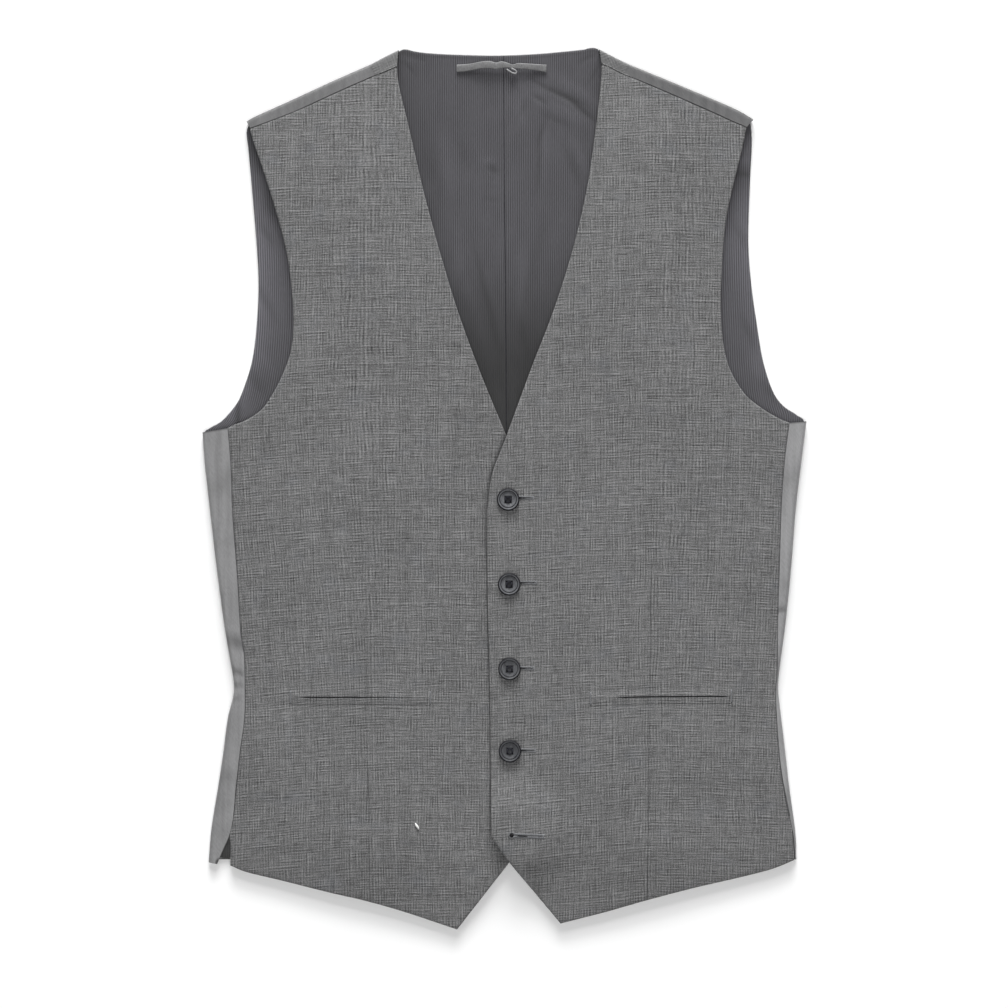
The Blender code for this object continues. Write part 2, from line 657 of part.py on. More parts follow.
def button(name, place, height):
    mesh = bpy.data.meshes.new(name)
    points = [(radius, 0.0, z) for radius, z in BUTTON_PROFILE]
    mesh.from_pydata(points, [(i, i + 1) for i in range(len(points) - 1)], [])
    mesh.materials.append(horn)
    made = bpy.data.objects.new(name, mesh)
    collection.objects.link(made)
    made.location = (place[0] * MM, place[1] * MM, height)
    turn = made.modifiers.new("turn", "SCREW")
    turn.angle = 2 * math.pi
    turn.screw_offset = 0.0
    turn.steps = BUTTON_STEPS
    turn.render_steps = BUTTON_STEPS
    turn.use_merge_vertices = True
    turn.merge_threshold = 0.00001
    turn.use_normal_calculate = True

    drill_vertices = []
    drill_faces = []
    sides = 8
    for ox, oy in ((-1, -1), (1, -1), (1, 1), (-1, 1)):
        start = len(drill_vertices)
        for z in (-1.0 * MM, BUTTON_HEIGHT + 1.0 * MM):
            for step in range(sides):
                angle = 2 * math.pi * (step + 0.5) / sides
                drill_vertices.append((
                    ox * BUTTON_HOLE_OFFSET + BUTTON_HOLE_RADIUS * math.cos(angle),
                    oy * BUTTON_HOLE_OFFSET + BUTTON_HOLE_RADIUS * math.sin(angle),
                    z,
                ))
        for step in range(sides):
            after = (step + 1) % sides
            drill_faces.append([start + step, start + after, start + sides + after, start + sides + step])
        drill_faces.append([start + sides - 1 - step for step in range(sides)])
        drill_faces.append([start + sides + step for step in range(sides)])
    drill = new_object(name + "_holes", drill_vertices, drill_faces, None, cutters)
    drill.location = made.location
    drill.hide_render = True
    drill.display_type = "WIRE"
    holes = made.modifiers.new("holes", "BOOLEAN")
    holes.operation = "DIFFERENCE"
    holes.solver = "EXACT"
    holes.object = drill
    return made


def highest(rule, place):
    """Highest point of a cloth surface under a button."""
    x, y = place[0] * MM, place[1] * MM
    around = [(0.0, 0.0)]
    for step in range(16):
        angle = math.pi * step / 8
        around.append((BUTTON_RADIUS * math.cos(angle), BUTTON_RADIUS * math.sin(angle)))
    return max(rule(x + dx, y + dy) for dx, dy in around)


for number, button_place in enumerate(BUTTONS, 1):
    button("button_%d" % number, button_place, highest(over_height, button_place) + BUTTON_CLEARANCE)
button("button_5", HIDDEN_BUTTON, highest(under_height, HIDDEN_BUTTON) + BUTTON_CLEARANCE)
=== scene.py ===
import math

import bpy
import numpy as np
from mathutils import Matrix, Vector


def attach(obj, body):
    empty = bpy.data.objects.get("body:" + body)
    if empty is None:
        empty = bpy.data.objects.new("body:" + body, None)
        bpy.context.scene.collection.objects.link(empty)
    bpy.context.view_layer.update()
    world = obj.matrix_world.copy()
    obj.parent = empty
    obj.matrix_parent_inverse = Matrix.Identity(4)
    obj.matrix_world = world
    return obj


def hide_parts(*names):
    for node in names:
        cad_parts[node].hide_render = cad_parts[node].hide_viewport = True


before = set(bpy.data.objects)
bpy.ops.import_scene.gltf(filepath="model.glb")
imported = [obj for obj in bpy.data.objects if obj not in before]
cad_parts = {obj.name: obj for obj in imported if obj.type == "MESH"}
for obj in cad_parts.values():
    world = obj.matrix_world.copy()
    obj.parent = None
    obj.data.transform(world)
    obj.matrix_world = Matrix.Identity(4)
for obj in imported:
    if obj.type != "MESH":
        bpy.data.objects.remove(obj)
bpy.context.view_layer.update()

# ----------------------------------------------------------------------------------------------
# BACK. Two panels of grey lining satin, seamed down the middle of the back. Each is cut wide
# enough to turn forward over the side and over the shoulder, where the front is sewn to it.
# Sizes are in millimetres here and below; a mesh or a material turns them into metres.
# ----------------------------------------------------------------------------------------------
MM = 0.001
CLOTH_WALL = 1.0
SHARP_FROM = math.radians(50.0)
SEAM_GAP = 0.3
FOLD_RADIUS = 3.0
PRESSED_FOLD = 0.66
PRESSED_SHARE = 0.50
PRESSED_FROM_Y = -200.0
PRESSED_LENGTH = 78.0
CHEST_LIFT = 1.7
SIDE_RISE = 70.0
SHOULDER_RISE = 60.0
SATIN_COLOR = (0.288, 0.288, 0.292)
SATIN_SHADE = (0.178, 0.178, 0.181)
SATIN_SHADOW_COLOR = (0.012, 0.012, 0.012)
BLACK = (0.0, 0.0, 0.0)
TWILL_ANGLE = math.radians(-38.0)
# Share of full light on the satin of each shoulder and of the left side.
SHOULDER_SATIN = 0.64
RIGHT_SHOULDER_SATIN = 0.50
LEFT_SIDE_SATIN = 0.86
SHOULDERS_FROM_Y = 200.0

# Folded edge and seam of each side, hem to underarm.
LEFT_SIDE = np.array((
    # fold_x, fold_y, seam_x, seam_y
    (-222.0, -280.1, -215.6, -281.3), (-219.9, -254.6, -205.0, -254.6), (-214.7, -222.4, -201.2, -222.4),
    (-211.0, -198.0, -198.4, -198.0), (-207.6, -172.0, -195.0, -172.0), (-202.9, -150.0, -194.6, -150.0),
    (-206.5, -124.1, -195.3, -124.1), (-209.7, -105.4, -198.0, -105.4), (-215.6, -61.9, -200.6, -61.9),
    (-220.9, -16.1, -204.0, -16.1), (-224.8, 18.4, -205.2, 18.4), (-226.5, 42.4, -207.4, 45.6),
))
RIGHT_SIDE = np.array((
    (219.0, -277.9, 218.2, -277.9), (218.5, -261.0, 216.9, -261.0), (216.6, -244.9, 213.7, -244.9),
    (213.4, -222.4, 209.4, -222.4), (210.9, -199.9, 206.2, -199.9), (206.9, -166.1, 203.8, -166.1),
    (205.2, -150.0, 203.5, -150.0), (206.4, -133.9, 204.6, -133.9), (211.1, -97.9, 205.0, -97.9),
    (215.2, -56.6, 206.2, -56.6), (218.4, -16.1, 207.5, -16.1), (222.4, 18.4, 209.7, 18.4),
    (226.5, 50.6, 213.5, 49.6),
))
# The same for each shoulder, armhole to neck. The neck band starts at the row BAND_ROW.
LEFT_SHOULDER = np.array((
    (-193.5, 275.6, -190.5, 270.5), (-184.9, 280.1, -181.8, 273.6), (-159.8, 291.4, -156.0, 283.5),
    (-127.1, 306.4, -123.4, 298.4), (-100.5, 318.1, -97.3, 309.9), (-88.5, 324.4, -86.2, 314.6),
    (-79.5, 328.9, -80.5, 317.1),
))
RIGHT_SHOULDER = np.array((
    (186.6, 277.1, 181.5, 271.1), (174.8, 283.9, 171.0, 275.6), (157.9, 291.4, 154.3, 283.2),
    (122.2, 306.4, 118.9, 298.7), (93.0, 318.4, 89.6, 311.0), (79.5, 325.0, 79.3, 316.2),
    (71.0, 329.6, 72.7, 319.0),
))
BAND_ROW = 4
LEFT_BACK_ARMHOLE = np.array((
    (-223.4, 44.2), (-220.0, 46.5), (-212.0, 51.2), (-202.0, 62.6), (-196.4, 73.9), (-189.4, 96.4),
    (-186.0, 123.0), (-184.6, 155.0), (-186.3, 186.4), (-190.1, 231.4), (-192.1, 253.9), (-193.7, 267.5),
))
RIGHT_BACK_ARMHOLE = np.array((
    (219.4, 55.5), (209.0, 62.6), (201.2, 73.9), (194.0, 96.4), (189.2, 125.0), (185.2, 154.0),
    (183.0, 186.4), (184.3, 231.4), (185.7, 260.0),
))
BAND_SEAM_LEFT = ((-85.0, 309.5), (-63.0, 306.4), (-30.0, 304.6))
BAND_SEAM_RIGHT = ((78.0, 310.2), (60.0, 306.9), (30.0, 304.9))
BAND_SEAM_CENTRE_Y = 304.1
CENTRE_BACK_TOP_X = -0.7
CENTRE_BACK_HEM_X = 4.5
BACK_HEM_Y = -277.9
SIDE_ROWS = 230
ARMHOLE_ROWS = 60
STRIP_COLUMNS = 24
SHOULDER_COLUMNS = 60
SHOULDER_ROWS = 16
NECK_COLUMNS = 24
CURVE_STEPS = 16
STRIP_SWELL = 0.22
# Dents and soft creases that cross the turned strips, from one end to the other.
STRIP_CREASES = (
    # x, y, to_x, to_y, width, depth
    (-208, -114, -194, -121, 5.0, 1.15), (-207, -104, -195, -110, 5.0, -0.50),
    (-206, -136, -194.5, -141, 2.8, 0.85), (-208, -157.5, -196, -152.5, 2.6, -0.70),
    (-206, -149, -195, -148, 3.0, 0.50), (-213, -32, -203.5, -38, 9.0, -0.55),
    (-218.5, 5, -206.5, -2, 12.0, 0.60), (-214, -222, -203, -214, 6.0, 0.60),
    (-217, -247, -205, -256, 7.0, -0.45), (-216, 38, -217.5, 8, 2.2, 0.45),
    (203.8, -90.5, 211, -92.5, 2.6, 0.95), (205, -70, 214, -64, 7.0, -0.50),
    (208, 8, 219, 2, 8.0, 0.50), (206, -130, 206, -160, 4.0, 0.40),
    (-150, 289.5, -136, 297.5, 5.0, -0.25), (128, 299, 141, 294, 5.0, 0.25),
)


def even(count):
    return np.linspace(0.0, 1.0, count + 1)


def unit(vectors):
    return vectors / np.linalg.norm(vectors, axis=-1)[..., None]


def lengths_along(line):
    return np.concatenate([[0.0], np.cumsum(np.linalg.norm(np.diff(line, axis=0), axis=1))])


def curve(points, where):
    """Smooth line through points, read at the given shares of its length."""
    p = np.asarray(points, float)
    ends = np.vstack([2 * p[0] - p[1], p, 2 * p[-1] - p[-2]])
    t = np.arange(CURVE_STEPS)[:, None] / CURVE_STEPS
    parts = []
    for a, b, c, d in zip(ends, ends[1:], ends[2:], ends[3:]):
        cubic = 3 * b - a - 3 * c + d
        parts.append(0.5 * (2 * b + (c - a) * t + (2 * a - 5 * b + 4 * c - d) * t ** 2 + cubic * t ** 3))
    line = np.vstack(parts + [p[-1:]])
    reach = lengths_along(line)
    want = np.asarray(where) * reach[-1]
    return np.stack([np.interp(want, reach, line[:, k]) for k in range(line.shape[1])], axis=1)


def x_at(line, y):
    return np.interp(y, line[:, 1], line[:, 0])


def y_at(line, x):
    return np.interp(x, line[:, 0], line[:, 1])


def ease(value):
    value = np.clip(value, 0.0, 1.0)
    return value * value * (3.0 - 2.0 * value)


def on(height, plan, lift=0.0):
    """Plan points set on a surface, or that much above it."""
    return np.concatenate([plan, (height(plan[..., 0], plan[..., 1]) + lift)[..., None]], axis=-1)


def flat_surface(x, y):
    return 0.0 * x


def patch(bottom, top, left, right, across, along):
    """Grid of plan points that fills four edges, at shares across and along."""
    u = across[None, :, None]
    v = along[:, None, None]
    sides = left[:, None] * (1 - u) + right[:, None] * u
    ends = bottom[None] * (1 - v) + top[None] * v
    low = bottom[0] * (1 - u) + bottom[-1] * u
    high = top[0] * (1 - u) + top[-1] * u
    return sides + ends - (low * (1 - v) + high * v)


SMOOTH_SIDES = [curve(table[:, :2], even(200)) for table in (LEFT_SIDE, RIGHT_SIDE)]
SMOOTH_SHOULDERS = [curve(table[:, :2], even(120)) for table in (LEFT_SHOULDER, RIGHT_SHOULDER[::-1])]


def inside_side(x, y):
    """Distance in from the folded edge of the nearer side."""
    left, right = SMOOTH_SIDES
    return np.where(x < 0, x - x_at(left, y), x_at(right, y) - x)


def body_height(x, y):
    """Top of the upper layer as it lies over the back."""
    left, right = SMOOTH_SHOULDERS
    inside = inside_side(x, y)
    below = np.where(x < 0, y_at(left, x), y_at(right, x)) - y
    turn = FOLD_RADIUS - np.clip(inside, 0.0, FOLD_RADIUS)
    edge = FOLD_RADIUS + np.sqrt(np.maximum(FOLD_RADIUS ** 2 - turn ** 2, 0.0))
    over_side = ease((inside - FOLD_RADIUS) / SIDE_RISE)
    return edge + CHEST_LIFT * over_side * ease((below - FOLD_RADIUS) / SHOULDER_RISE)


def creased(x, y, table):
    """Height of soft creases: a trough where depth is positive, a ridge where it is negative."""
    height = np.zeros_like(x)
    for x0, y0, x1, y1, width, depth in table:
        length = math.hypot(x1 - x0, y1 - y0)
        along = ((x - x0) * (x1 - x0) + (y - y0) * (y1 - y0)) / length ** 2
        across = ((y - y0) * (x1 - x0) - (x - x0) * (y1 - y0)) / (length * width)
        ends = ease(1.0 - np.abs(along - 0.5) * 1.25)
        height = height - depth * ends * np.exp(-(across ** 2))
    return height


def pressed(y):
    """Share of a fold's full height: it is pressed flatter towards the hem."""
    return 1.0 - PRESSED_SHARE * ease((PRESSED_FROM_Y - y) / PRESSED_LENGTH)


def turned_edge(fold, seam, columns, relief, roundness=1.0):
    """Grid of points round a fold, from where it leaves the table up and over to the seam."""
    depth = np.linalg.norm(seam - fold, axis=1)
    inward = unit(seam - fold)[:, None]
    half_turn = math.pi * FOLD_RADIUS
    short = math.pi - np.arcsin(np.clip((FOLD_RADIUS - depth) / FOLD_RADIUS, 0.0, 1.0))
    length = np.where(depth < FOLD_RADIUS, FOLD_RADIUS * short, half_turn + depth - FOLD_RADIUS)
    along = length[:, None] * even(columns)[None] ** 1.1
    angle = np.minimum(along / FOLD_RADIUS, math.pi)
    reach = FOLD_RADIUS * (1 - np.sin(angle) ** roundness) + np.maximum(along - half_turn, 0.0)
    rise = -np.sign(np.cos(angle)) * np.abs(np.cos(angle)) ** roundness
    flat = fold[:, None] + inward * reach[..., None]
    height = np.where(along <= half_turn, FOLD_RADIUS * (1 + rise), body_height(flat[..., 0], flat[..., 1]))
    lift = relief(flat[..., 0], flat[..., 1]) * ease((height - FOLD_RADIUS) / FOLD_RADIUS)
    height = height * pressed(flat[..., 1])
    out = -inward * (np.sin(angle) * lift)[..., None]
    return np.concatenate([flat + out, (height - np.cos(angle) * lift)[..., None]], axis=2)


def smooth_mesh(name, points, faces):
    mesh = bpy.data.meshes.new(name)
    mesh.from_pydata((points * MM).tolist(), [], faces)
    mesh.polygons.foreach_set("use_smooth", np.ones(len(faces), bool))
    mesh.update()
    made = bpy.data.objects.new(name, mesh)
    bpy.context.scene.collection.objects.link(made)
    return made


def bake_modifiers(piece):
    baked = bpy.data.meshes.new_from_object(piece.evaluated_get(bpy.context.evaluated_depsgraph_get()))
    piece.modifiers.clear()
    piece.data = baked
    return baked


def grid_faces(number):
    """Quads between the numbered points of a grid."""
    return np.stack([number[:-1, :-1], number[:-1, 1:], number[1:, 1:], number[1:, :-1]], -1).reshape(-1, 4)


def sewn(name, grids, cloth, shaded_edge_cloth):
    """Wall of cloth behind outer surfaces whose shared edge points are joined, with a square rim in a
    near-black finish: painted shade on the rim.
    """
    points = np.concatenate([grid.reshape(-1, 3) for grid in grids])
    _, first, index = np.unique(np.round(points * 1e3), axis=0, return_index=True, return_inverse=True)
    index = index.reshape(-1)
    faces = []
    start = 0
    for grid in grids:
        size = grid.size // 3
        faces += grid_faces(index[start:start + size].reshape(grid.shape[:2])).tolist()
        start += size
    made = smooth_mesh(name, points[first], faces)
    made.data.materials.append(cloth)
    made.data.materials.append(shaded_edge_cloth)
    wall = made.modifiers.new("wall", "SOLIDIFY")
    wall.thickness = CLOTH_WALL * MM
    wall.offset = -1.0
    wall.use_even_offset = True
    wall.material_offset_rim = 1
    baked = bake_modifiers(made)
    for point in baked.vertices:
        point.co.z = abs(point.co.z)
    baked.set_sharp_from_angle(angle=SHARP_FROM)
    return made


def inner_side(grid):
    """The same grid with its outside on the other side."""
    return grid[:, ::-1]


class Tone:
    """Number worked out by a finish's nodes. Arithmetic on it adds nodes."""

    def __init__(self, finish, socket):
        self.finish = finish
        self.socket = socket

    def __add__(self, other):
        return self.finish.calc("ADD", self, other)

    def __sub__(self, other):
        return self.finish.calc("SUBTRACT", self, other)

    def __mul__(self, other):
        return self.finish.calc("MULTIPLY", self, other)

    def at_least(self, other):
        return self.finish.calc("MAXIMUM", self, other)

    def at_most(self, other):
        return self.finish.calc("MINIMUM", self, other)

    def sine(self):
        return self.finish.calc("SINE", self)


class Finish:
    """Material with short calls for the nodes that the cloths share."""

    def __init__(self, name, **numbers):
        self.material = bpy.data.materials.new(name)
        self.material.use_nodes = True
        self.tree = self.material.node_tree
        self.shader = self.tree.nodes["Principled BSDF"]
        for key, value in numbers.items():
            self.shader.inputs[key.replace("_", " ")].default_value = value

    def node(self, kind, **settings):
        made = self.tree.nodes.new(kind)
        for key, value in settings.items():
            setattr(made, key, value)
        return made

    def join(self, value, socket):
        value = value.socket if isinstance(value, Tone) else value
        if isinstance(value, bpy.types.NodeSocket):
            self.tree.links.new(value, socket)
        else:
            socket.default_value = value

    def calc(self, operation, *values):
        made = self.node("ShaderNodeMath", operation=operation)
        for value, socket in zip(values, made.inputs):
            self.join(value, socket)
        return Tone(self, made.outputs[0])

    def place(self):
        return self.node("ShaderNodeTexCoord").outputs["Object"]

    def stored(self, name, output="Fac"):
        return self.node("ShaderNodeAttribute", attribute_name=name).outputs[output]

    def split(self, vector):
        made = self.node("ShaderNodeSeparateXYZ")
        self.join(vector, made.inputs[0])
        return [Tone(self, socket) for socket in made.outputs]

    def noise(self, place, stretch, detail=2.0, roughness=0.5):
        """Noise about 0, with one grain for each stretch length along x, y and, if given, z."""
        scaled = self.node("ShaderNodeVectorMath", operation="MULTIPLY")
        self.join(place, scaled.inputs[0])
        scaled.inputs[1].default_value = [1.0 / (length * MM) for length in (*stretch, 1.0 / MM)[:3]]
        made = self.node("ShaderNodeTexNoise")
        self.join(scaled.outputs[0], made.inputs["Vector"])
        made.inputs["Scale"].default_value = 1.0
        made.inputs["Detail"].default_value = detail
        made.inputs["Roughness"].default_value = roughness
        return self.calc("SUBTRACT", made.outputs["Fac"], 0.5)

    def blend(self, share, first, second):
        made = self.node("ShaderNodeMix", data_type="RGBA")
        self.join(share, made.inputs["Factor"])
        for color, key in ((first, "A"), (second, "B")):
            self.join((*color, 1.0) if isinstance(color, tuple) else color, made.inputs[key])
        return made.outputs["Result"]

    def paint(self, share, first, second):
        self.join(self.blend(share, first, second), self.shader.inputs["Base Color"])

    def bump(self, height, distance, strength=1.0):
        made = self.node("ShaderNodeBump")
        made.inputs["Distance"].default_value = distance * MM
        made.inputs["Strength"].default_value = strength
        self.join(height, made.inputs["Height"])
        self.join(made.outputs[0], self.shader.inputs["Normal"])

    def wear(self, piece):
        piece.data.materials.clear()
        piece.data.materials.append(self.material)


def plain_finish(name, stretch, detail, gain, shade, light, bump=0.0, **numbers):
    """Finish of thread or bare fluff: two colours mixed by one fine noise."""
    made = Finish(name, **numbers)
    nap = made.noise(made.place(), stretch, detail)
    made.paint(nap * gain + 0.5, shade, light)
    if bump:
        made.bump(nap, bump)
    return made


satin = Finish(
    "back_satin", Roughness=0.42, Sheen_Weight=0.14, Sheen_Roughness=0.4,
    Specular_IOR_Level=0.36, Anisotropic=0.3,
)
satin_place = satin.place()
satin_turn = satin.node("ShaderNodeVectorRotate", rotation_type="Z_AXIS")
satin.join(satin_place, satin_turn.inputs["Vector"])
satin_turn.inputs["Angle"].default_value = TWILL_ANGLE
satin_twill = satin.noise(satin_turn.outputs[0], (0.8, 7.0, 7.0), 1.0)
satin_streaks = satin.noise(satin_place, (4.0, 70.0, 9.0))
satin_cloud = satin.noise(satin_place, (35.0, 50.0, 35.0))
satin_yarn = satin.noise(satin_place, (0.5, 2.5, 0.5))
satin_share = satin_streaks * 1.3 + satin_cloud * 0.9 + satin_yarn * 0.85 + satin_twill * 0.55 + 0.5
satin_x, satin_y = satin.split(satin_place)[:2]
# Painted shade: the satin of the shoulders and of the left side is darkened towards black.
on_left = satin.calc("LESS_THAN", satin_x, 0.0)
shoulder_dim = on_left * (RIGHT_SHOULDER_SATIN - SHOULDER_SATIN) + (1.0 - RIGHT_SHOULDER_SATIN)
shoulder_dim = satin.calc("GREATER_THAN", satin_y, SHOULDERS_FROM_Y * MM) * shoulder_dim
satin_dim = shoulder_dim.at_least(on_left * (1.0 - LEFT_SIDE_SATIN))
satin_color = satin.blend(satin_dim, satin.blend(satin_share, SATIN_SHADE, SATIN_COLOR), BLACK)
# Painted shade: each point's stored share darkens the satin.
satin.paint(satin.stored("painted_shade"), satin_color, SATIN_SHADOW_COLOR)
satin.bump(satin_yarn + satin_twill, 0.06)
# Near-black finish of the satin's and the band's rims: painted shade.
satin_edge_shade = plain_finish(
    "back_satin_shaded_edge", (0.8, 0.8, 0.8), 1.0, 1.0, (0.016, 0.016, 0.017), (0.040, 0.040, 0.041),
    Roughness=0.7,
)


def give_painted_shade(piece, values):
    """Stores each point's share of painted shade, from 0 to 1, which darkens its colour."""
    layer = piece.data.attributes.new("painted_shade", "FLOAT", "POINT")
    layer.data.foreach_set("value", values.astype(np.float32))


def read_points(piece, what="co"):
    found = np.zeros(len(piece.data.vertices) * 3, np.float32)
    piece.data.vertices.foreach_get(what, found)
    return found.reshape(-1, 3).astype(float)


def plan_of(piece):
    return read_points(piece)[:, :2].T / MM


def shade_towards_lamps(piece, share):
    """Painted shade: how far each point turns over the edge towards the neck, where the lamps beyond it light
    it most, times a share.
    """
    return share * ease(read_points(piece, "normal")[:, 1])


def satin_painted_shade(x, y):
    """Painted shade in the creases of the strips, inside the left vent and where its edge turns in."""
    depth = 0.72 + 0.20 * ease((x + 213.0) / 6.0) + 0.16 * ease((-274.0 - y) / 2.5)
    vent = np.minimum(depth, 0.96) * ease((x + 214.5) / 2.5) * ease((-262.0 - y) / 6.0)
    seam_x = np.interp(y, LEFT_SIDE[:, 1], LEFT_SIDE[:, 2])
    turned_in = 0.85 * ease((x - seam_x + 1.9) / 0.9) * ease((-275.5 - y) / 3.0)
    folds = 0.30 * np.clip(-creased(x, y, STRIP_CREASES), 0.0, 1.2)
    on_left_side = x < 0.0
    return np.maximum.reduce([vent * on_left_side * (x > seam_x), turned_in * on_left_side, folds])


def seam_lines(table, where):
    return curve(table[:, :2], where), curve(table[:, 2:], where)


def foot_of(fold, seam, inset=0.0):
    """Line where a fold leaves the table, or one that much further in."""
    return fold + unit(seam - fold) * (FOLD_RADIUS + inset)


def centre_back(y, side):
    """Point beside the centre back seam at a height along the garment."""
    part = (y - BACK_HEM_Y) / (BAND_SEAM_CENTRE_Y - BACK_HEM_Y)
    x = CENTRE_BACK_HEM_X + (CENTRE_BACK_TOP_X - CENTRE_BACK_HEM_X) * part
    return np.array([x + side * SEAM_GAP / 2, y])


def shares_up(line):
    """How far up the garment each point of a line lies, from 0 to 1."""
    return (line[:, 1] - line[0, 1]) / (line[-1, 1] - line[0, 1])


def strip_relief(x, y):
    swell = STRIP_SWELL * np.sin(y / 17.0 + 0.9) * np.sin(y / 41.0 + x / 30.0)
    return creased(x, y, STRIP_CREASES) + swell


def back_panel(name, node, side, shoulder, armhole, band_seam, mirror):
    beside = 1 if mirror else -1
    fold, seam = seam_lines(side, even(SIDE_ROWS))
    top_fold, top_seam = seam_lines(shoulder[:BAND_ROW + 1], even(SHOULDER_COLUMNS))
    foot = foot_of(fold, seam)
    top_foot = foot_of(top_fold, top_seam)
    arm = curve(np.vstack([foot[-1:], armhole, top_foot[:1]]), even(ARMHOLE_ROWS) ** 1.4)
    outer = np.vstack([foot, arm[1:]])
    middle = centre_back(BAND_SEAM_CENTRE_Y, beside)
    neck = curve(np.vstack([top_foot[-1:], band_seam, middle]), even(NECK_COLUMNS))
    top = np.vstack([top_foot, neck[1:]])
    hem_end = centre_back(BACK_HEM_Y, beside)
    across = even(SHOULDER_COLUMNS + NECK_COLUMNS)
    along = shares_up(outer)
    bottom = foot[0] + (hem_end - foot[0]) * across[:, None]
    bottom[:, 1] = BACK_HEM_Y + (foot[0, 1] - BACK_HEM_Y) * (1.0 - ease(across / 0.025))
    centre = hem_end + (middle - hem_end) * along[:, None]
    flat = on(flat_surface, patch(bottom, top, outer, centre, across, along))
    side_grid = turned_edge(fold, seam, STRIP_COLUMNS, strip_relief)
    shoulder_grid = turned_edge(top_fold, top_seam, SHOULDER_ROWS, strip_relief, PRESSED_FOLD)
    side_grid[:, 0] = flat[:SIDE_ROWS + 1, 0]
    shoulder_grid[:, 0] = flat[-1, :SHOULDER_COLUMNS + 1]
    if mirror:
        grids = [flat, inner_side(side_grid), inner_side(shoulder_grid)]
    else:
        grids = [inner_side(flat), side_grid, shoulder_grid]
    panel = sewn(name, grids, satin.material, satin_edge_shade.material)
    # Painted shade in the strips' creases and the vent, and on the rims that turn towards the neck.
    give_painted_shade(panel, np.maximum(satin_painted_shade(*plan_of(panel)), shade_towards_lamps(panel, 0.80)))
    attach(panel, "root")
    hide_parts(node)


back_panel(
    "satin_back_left", "back_left", LEFT_SIDE, LEFT_SHOULDER, LEFT_BACK_ARMHOLE, BAND_SEAM_LEFT, False,
)
back_panel(
    "satin_back_right", "back_right", RIGHT_SIDE, RIGHT_SHOULDER, RIGHT_BACK_ARMHOLE, BAND_SEAM_RIGHT, True,
)

# ----------------------------------------------------------------------------------------------
# NECK BAND. A narrow curved band of the front wool round the back of the neck. It turns forward
# at both shoulders, so a corner of it shows beside each front; the rest lies under the lining.
# ----------------------------------------------------------------------------------------------
BAND_ROWS = 24
NECK_EDGE = (
    # x, y, left fold to right fold
    (-77.9, 329.1), (-69.5, 328.7), (-62.0, 327.6), (-48.0, 326.5), (-21.0, 325.5),
    (-1.5, 325.4), (25.5, 326.6), (57.0, 329.5), (64.5, 330.2),
)
WOOL_LIGHT = (0.235, 0.235, 0.237)
WOOL_DARK = (0.004, 0.004, 0.004)
WOOL_BLUE = (0.108, 0.122, 0.151)
WOOL_SHADOW_COLOR = (0.012, 0.012, 0.013)
DART_SHADOW_COLOR = (0.018, 0.018, 0.019)
LINE_PITCH = 2.05
CHECK_WIDTH = 16.9
CHECK_LENGTH = 18.6
# Spread and level of the wool's tone, and the same on the band.
WOOL_CONTRAST = (0.74, 0.70)
BAND_CONTRAST = (0.34, 0.745)
# Along and across the cloth of the band, which is cut on the bias.
BIAS = (0.92, 0.39)
# Grain of a line's slubs, streaks, waves and fading: across it, along it, detail.
YARN_GRAINS = ((1.0, 10.0, 1.0), (3.0, 70.0, 1.0), (14.0, 40.0, 0.0), (6.0, 10.0, 1.0))
# The pressed line of each dart: its point below the chest and its foot at the hem.
DART_LINES = ((-104.3, -50.0, -101.0, -300.0), (109.9, -57.0, 107.0, -300.0))
DART_LINE_WIDTH = 0.75

# Worsted with a faint broken check: light and dark ends and picks, in groups of four and of two,
# make short fine lines both ways that come and go, with slubs in the yarn.
wool = Finish("front_wool", Roughness=0.88, Sheen_Weight=0.12, Sheen_Roughness=0.6, Specular_IOR_Level=0.25)
grain = wool.stored("grain", "Vector")


def yarn_lines(position, repeat, turned):
    """Fine lines across one direction: grouped colours, uneven yarn and patches where they fade."""
    noises = []
    for across, along, detail in YARN_GRAINS:
        stretch = (along, across) if turned else (across, along)
        noises.append(wool.noise(grain, stretch, detail))
    slub, streak, wave, fade = noises
    phase = position * (2 * math.pi / (LINE_PITCH * MM)) + wave * 10.0
    group = (position * (2 * math.pi / (repeat * MM))).sine() * 0.35 + 0.5
    lines = phase.sine() * 0.62 + (phase * 0.5).sine() * group * 0.28
    lines = lines * (fade * 3.8 + 0.53).at_least(0.05)
    return lines + group * 0.12 + streak * 0.7 + slub * 1.9


grain_x, grain_y = wool.split(grain)[:2]
wool_lines = yarn_lines(grain_x, CHECK_WIDTH, False) * 0.50 + yarn_lines(grain_y, CHECK_LENGTH, True) * 0.56
wool_fleck = wool.noise(grain, (0.85, 0.85), 1.0)
wool_tone = wool_lines * 0.50 + wool_fleck * 0.90 + wool.noise(grain, (60.0, 70.0)) * 0.15
wool_contrast = wool.calc("MULTIPLY_ADD", wool_tone, *WOOL_CONTRAST)
wool_contrast.socket.node.name = "contrast"
wool_color = wool.blend(wool.calc("POWER", wool_contrast.at_least(0.0), 2.0), WOOL_DARK, WOOL_LIGHT)
wool_blue = (wool.noise(grain, (24.0, 20.0), 1.0) - 0.08).at_least(0.0) * 0.6
wool_color = wool.blend(wool_blue, wool_color, WOOL_BLUE)
wool_place = wool.place()
wool_x, wool_y = wool.split(wool_place)[:2]
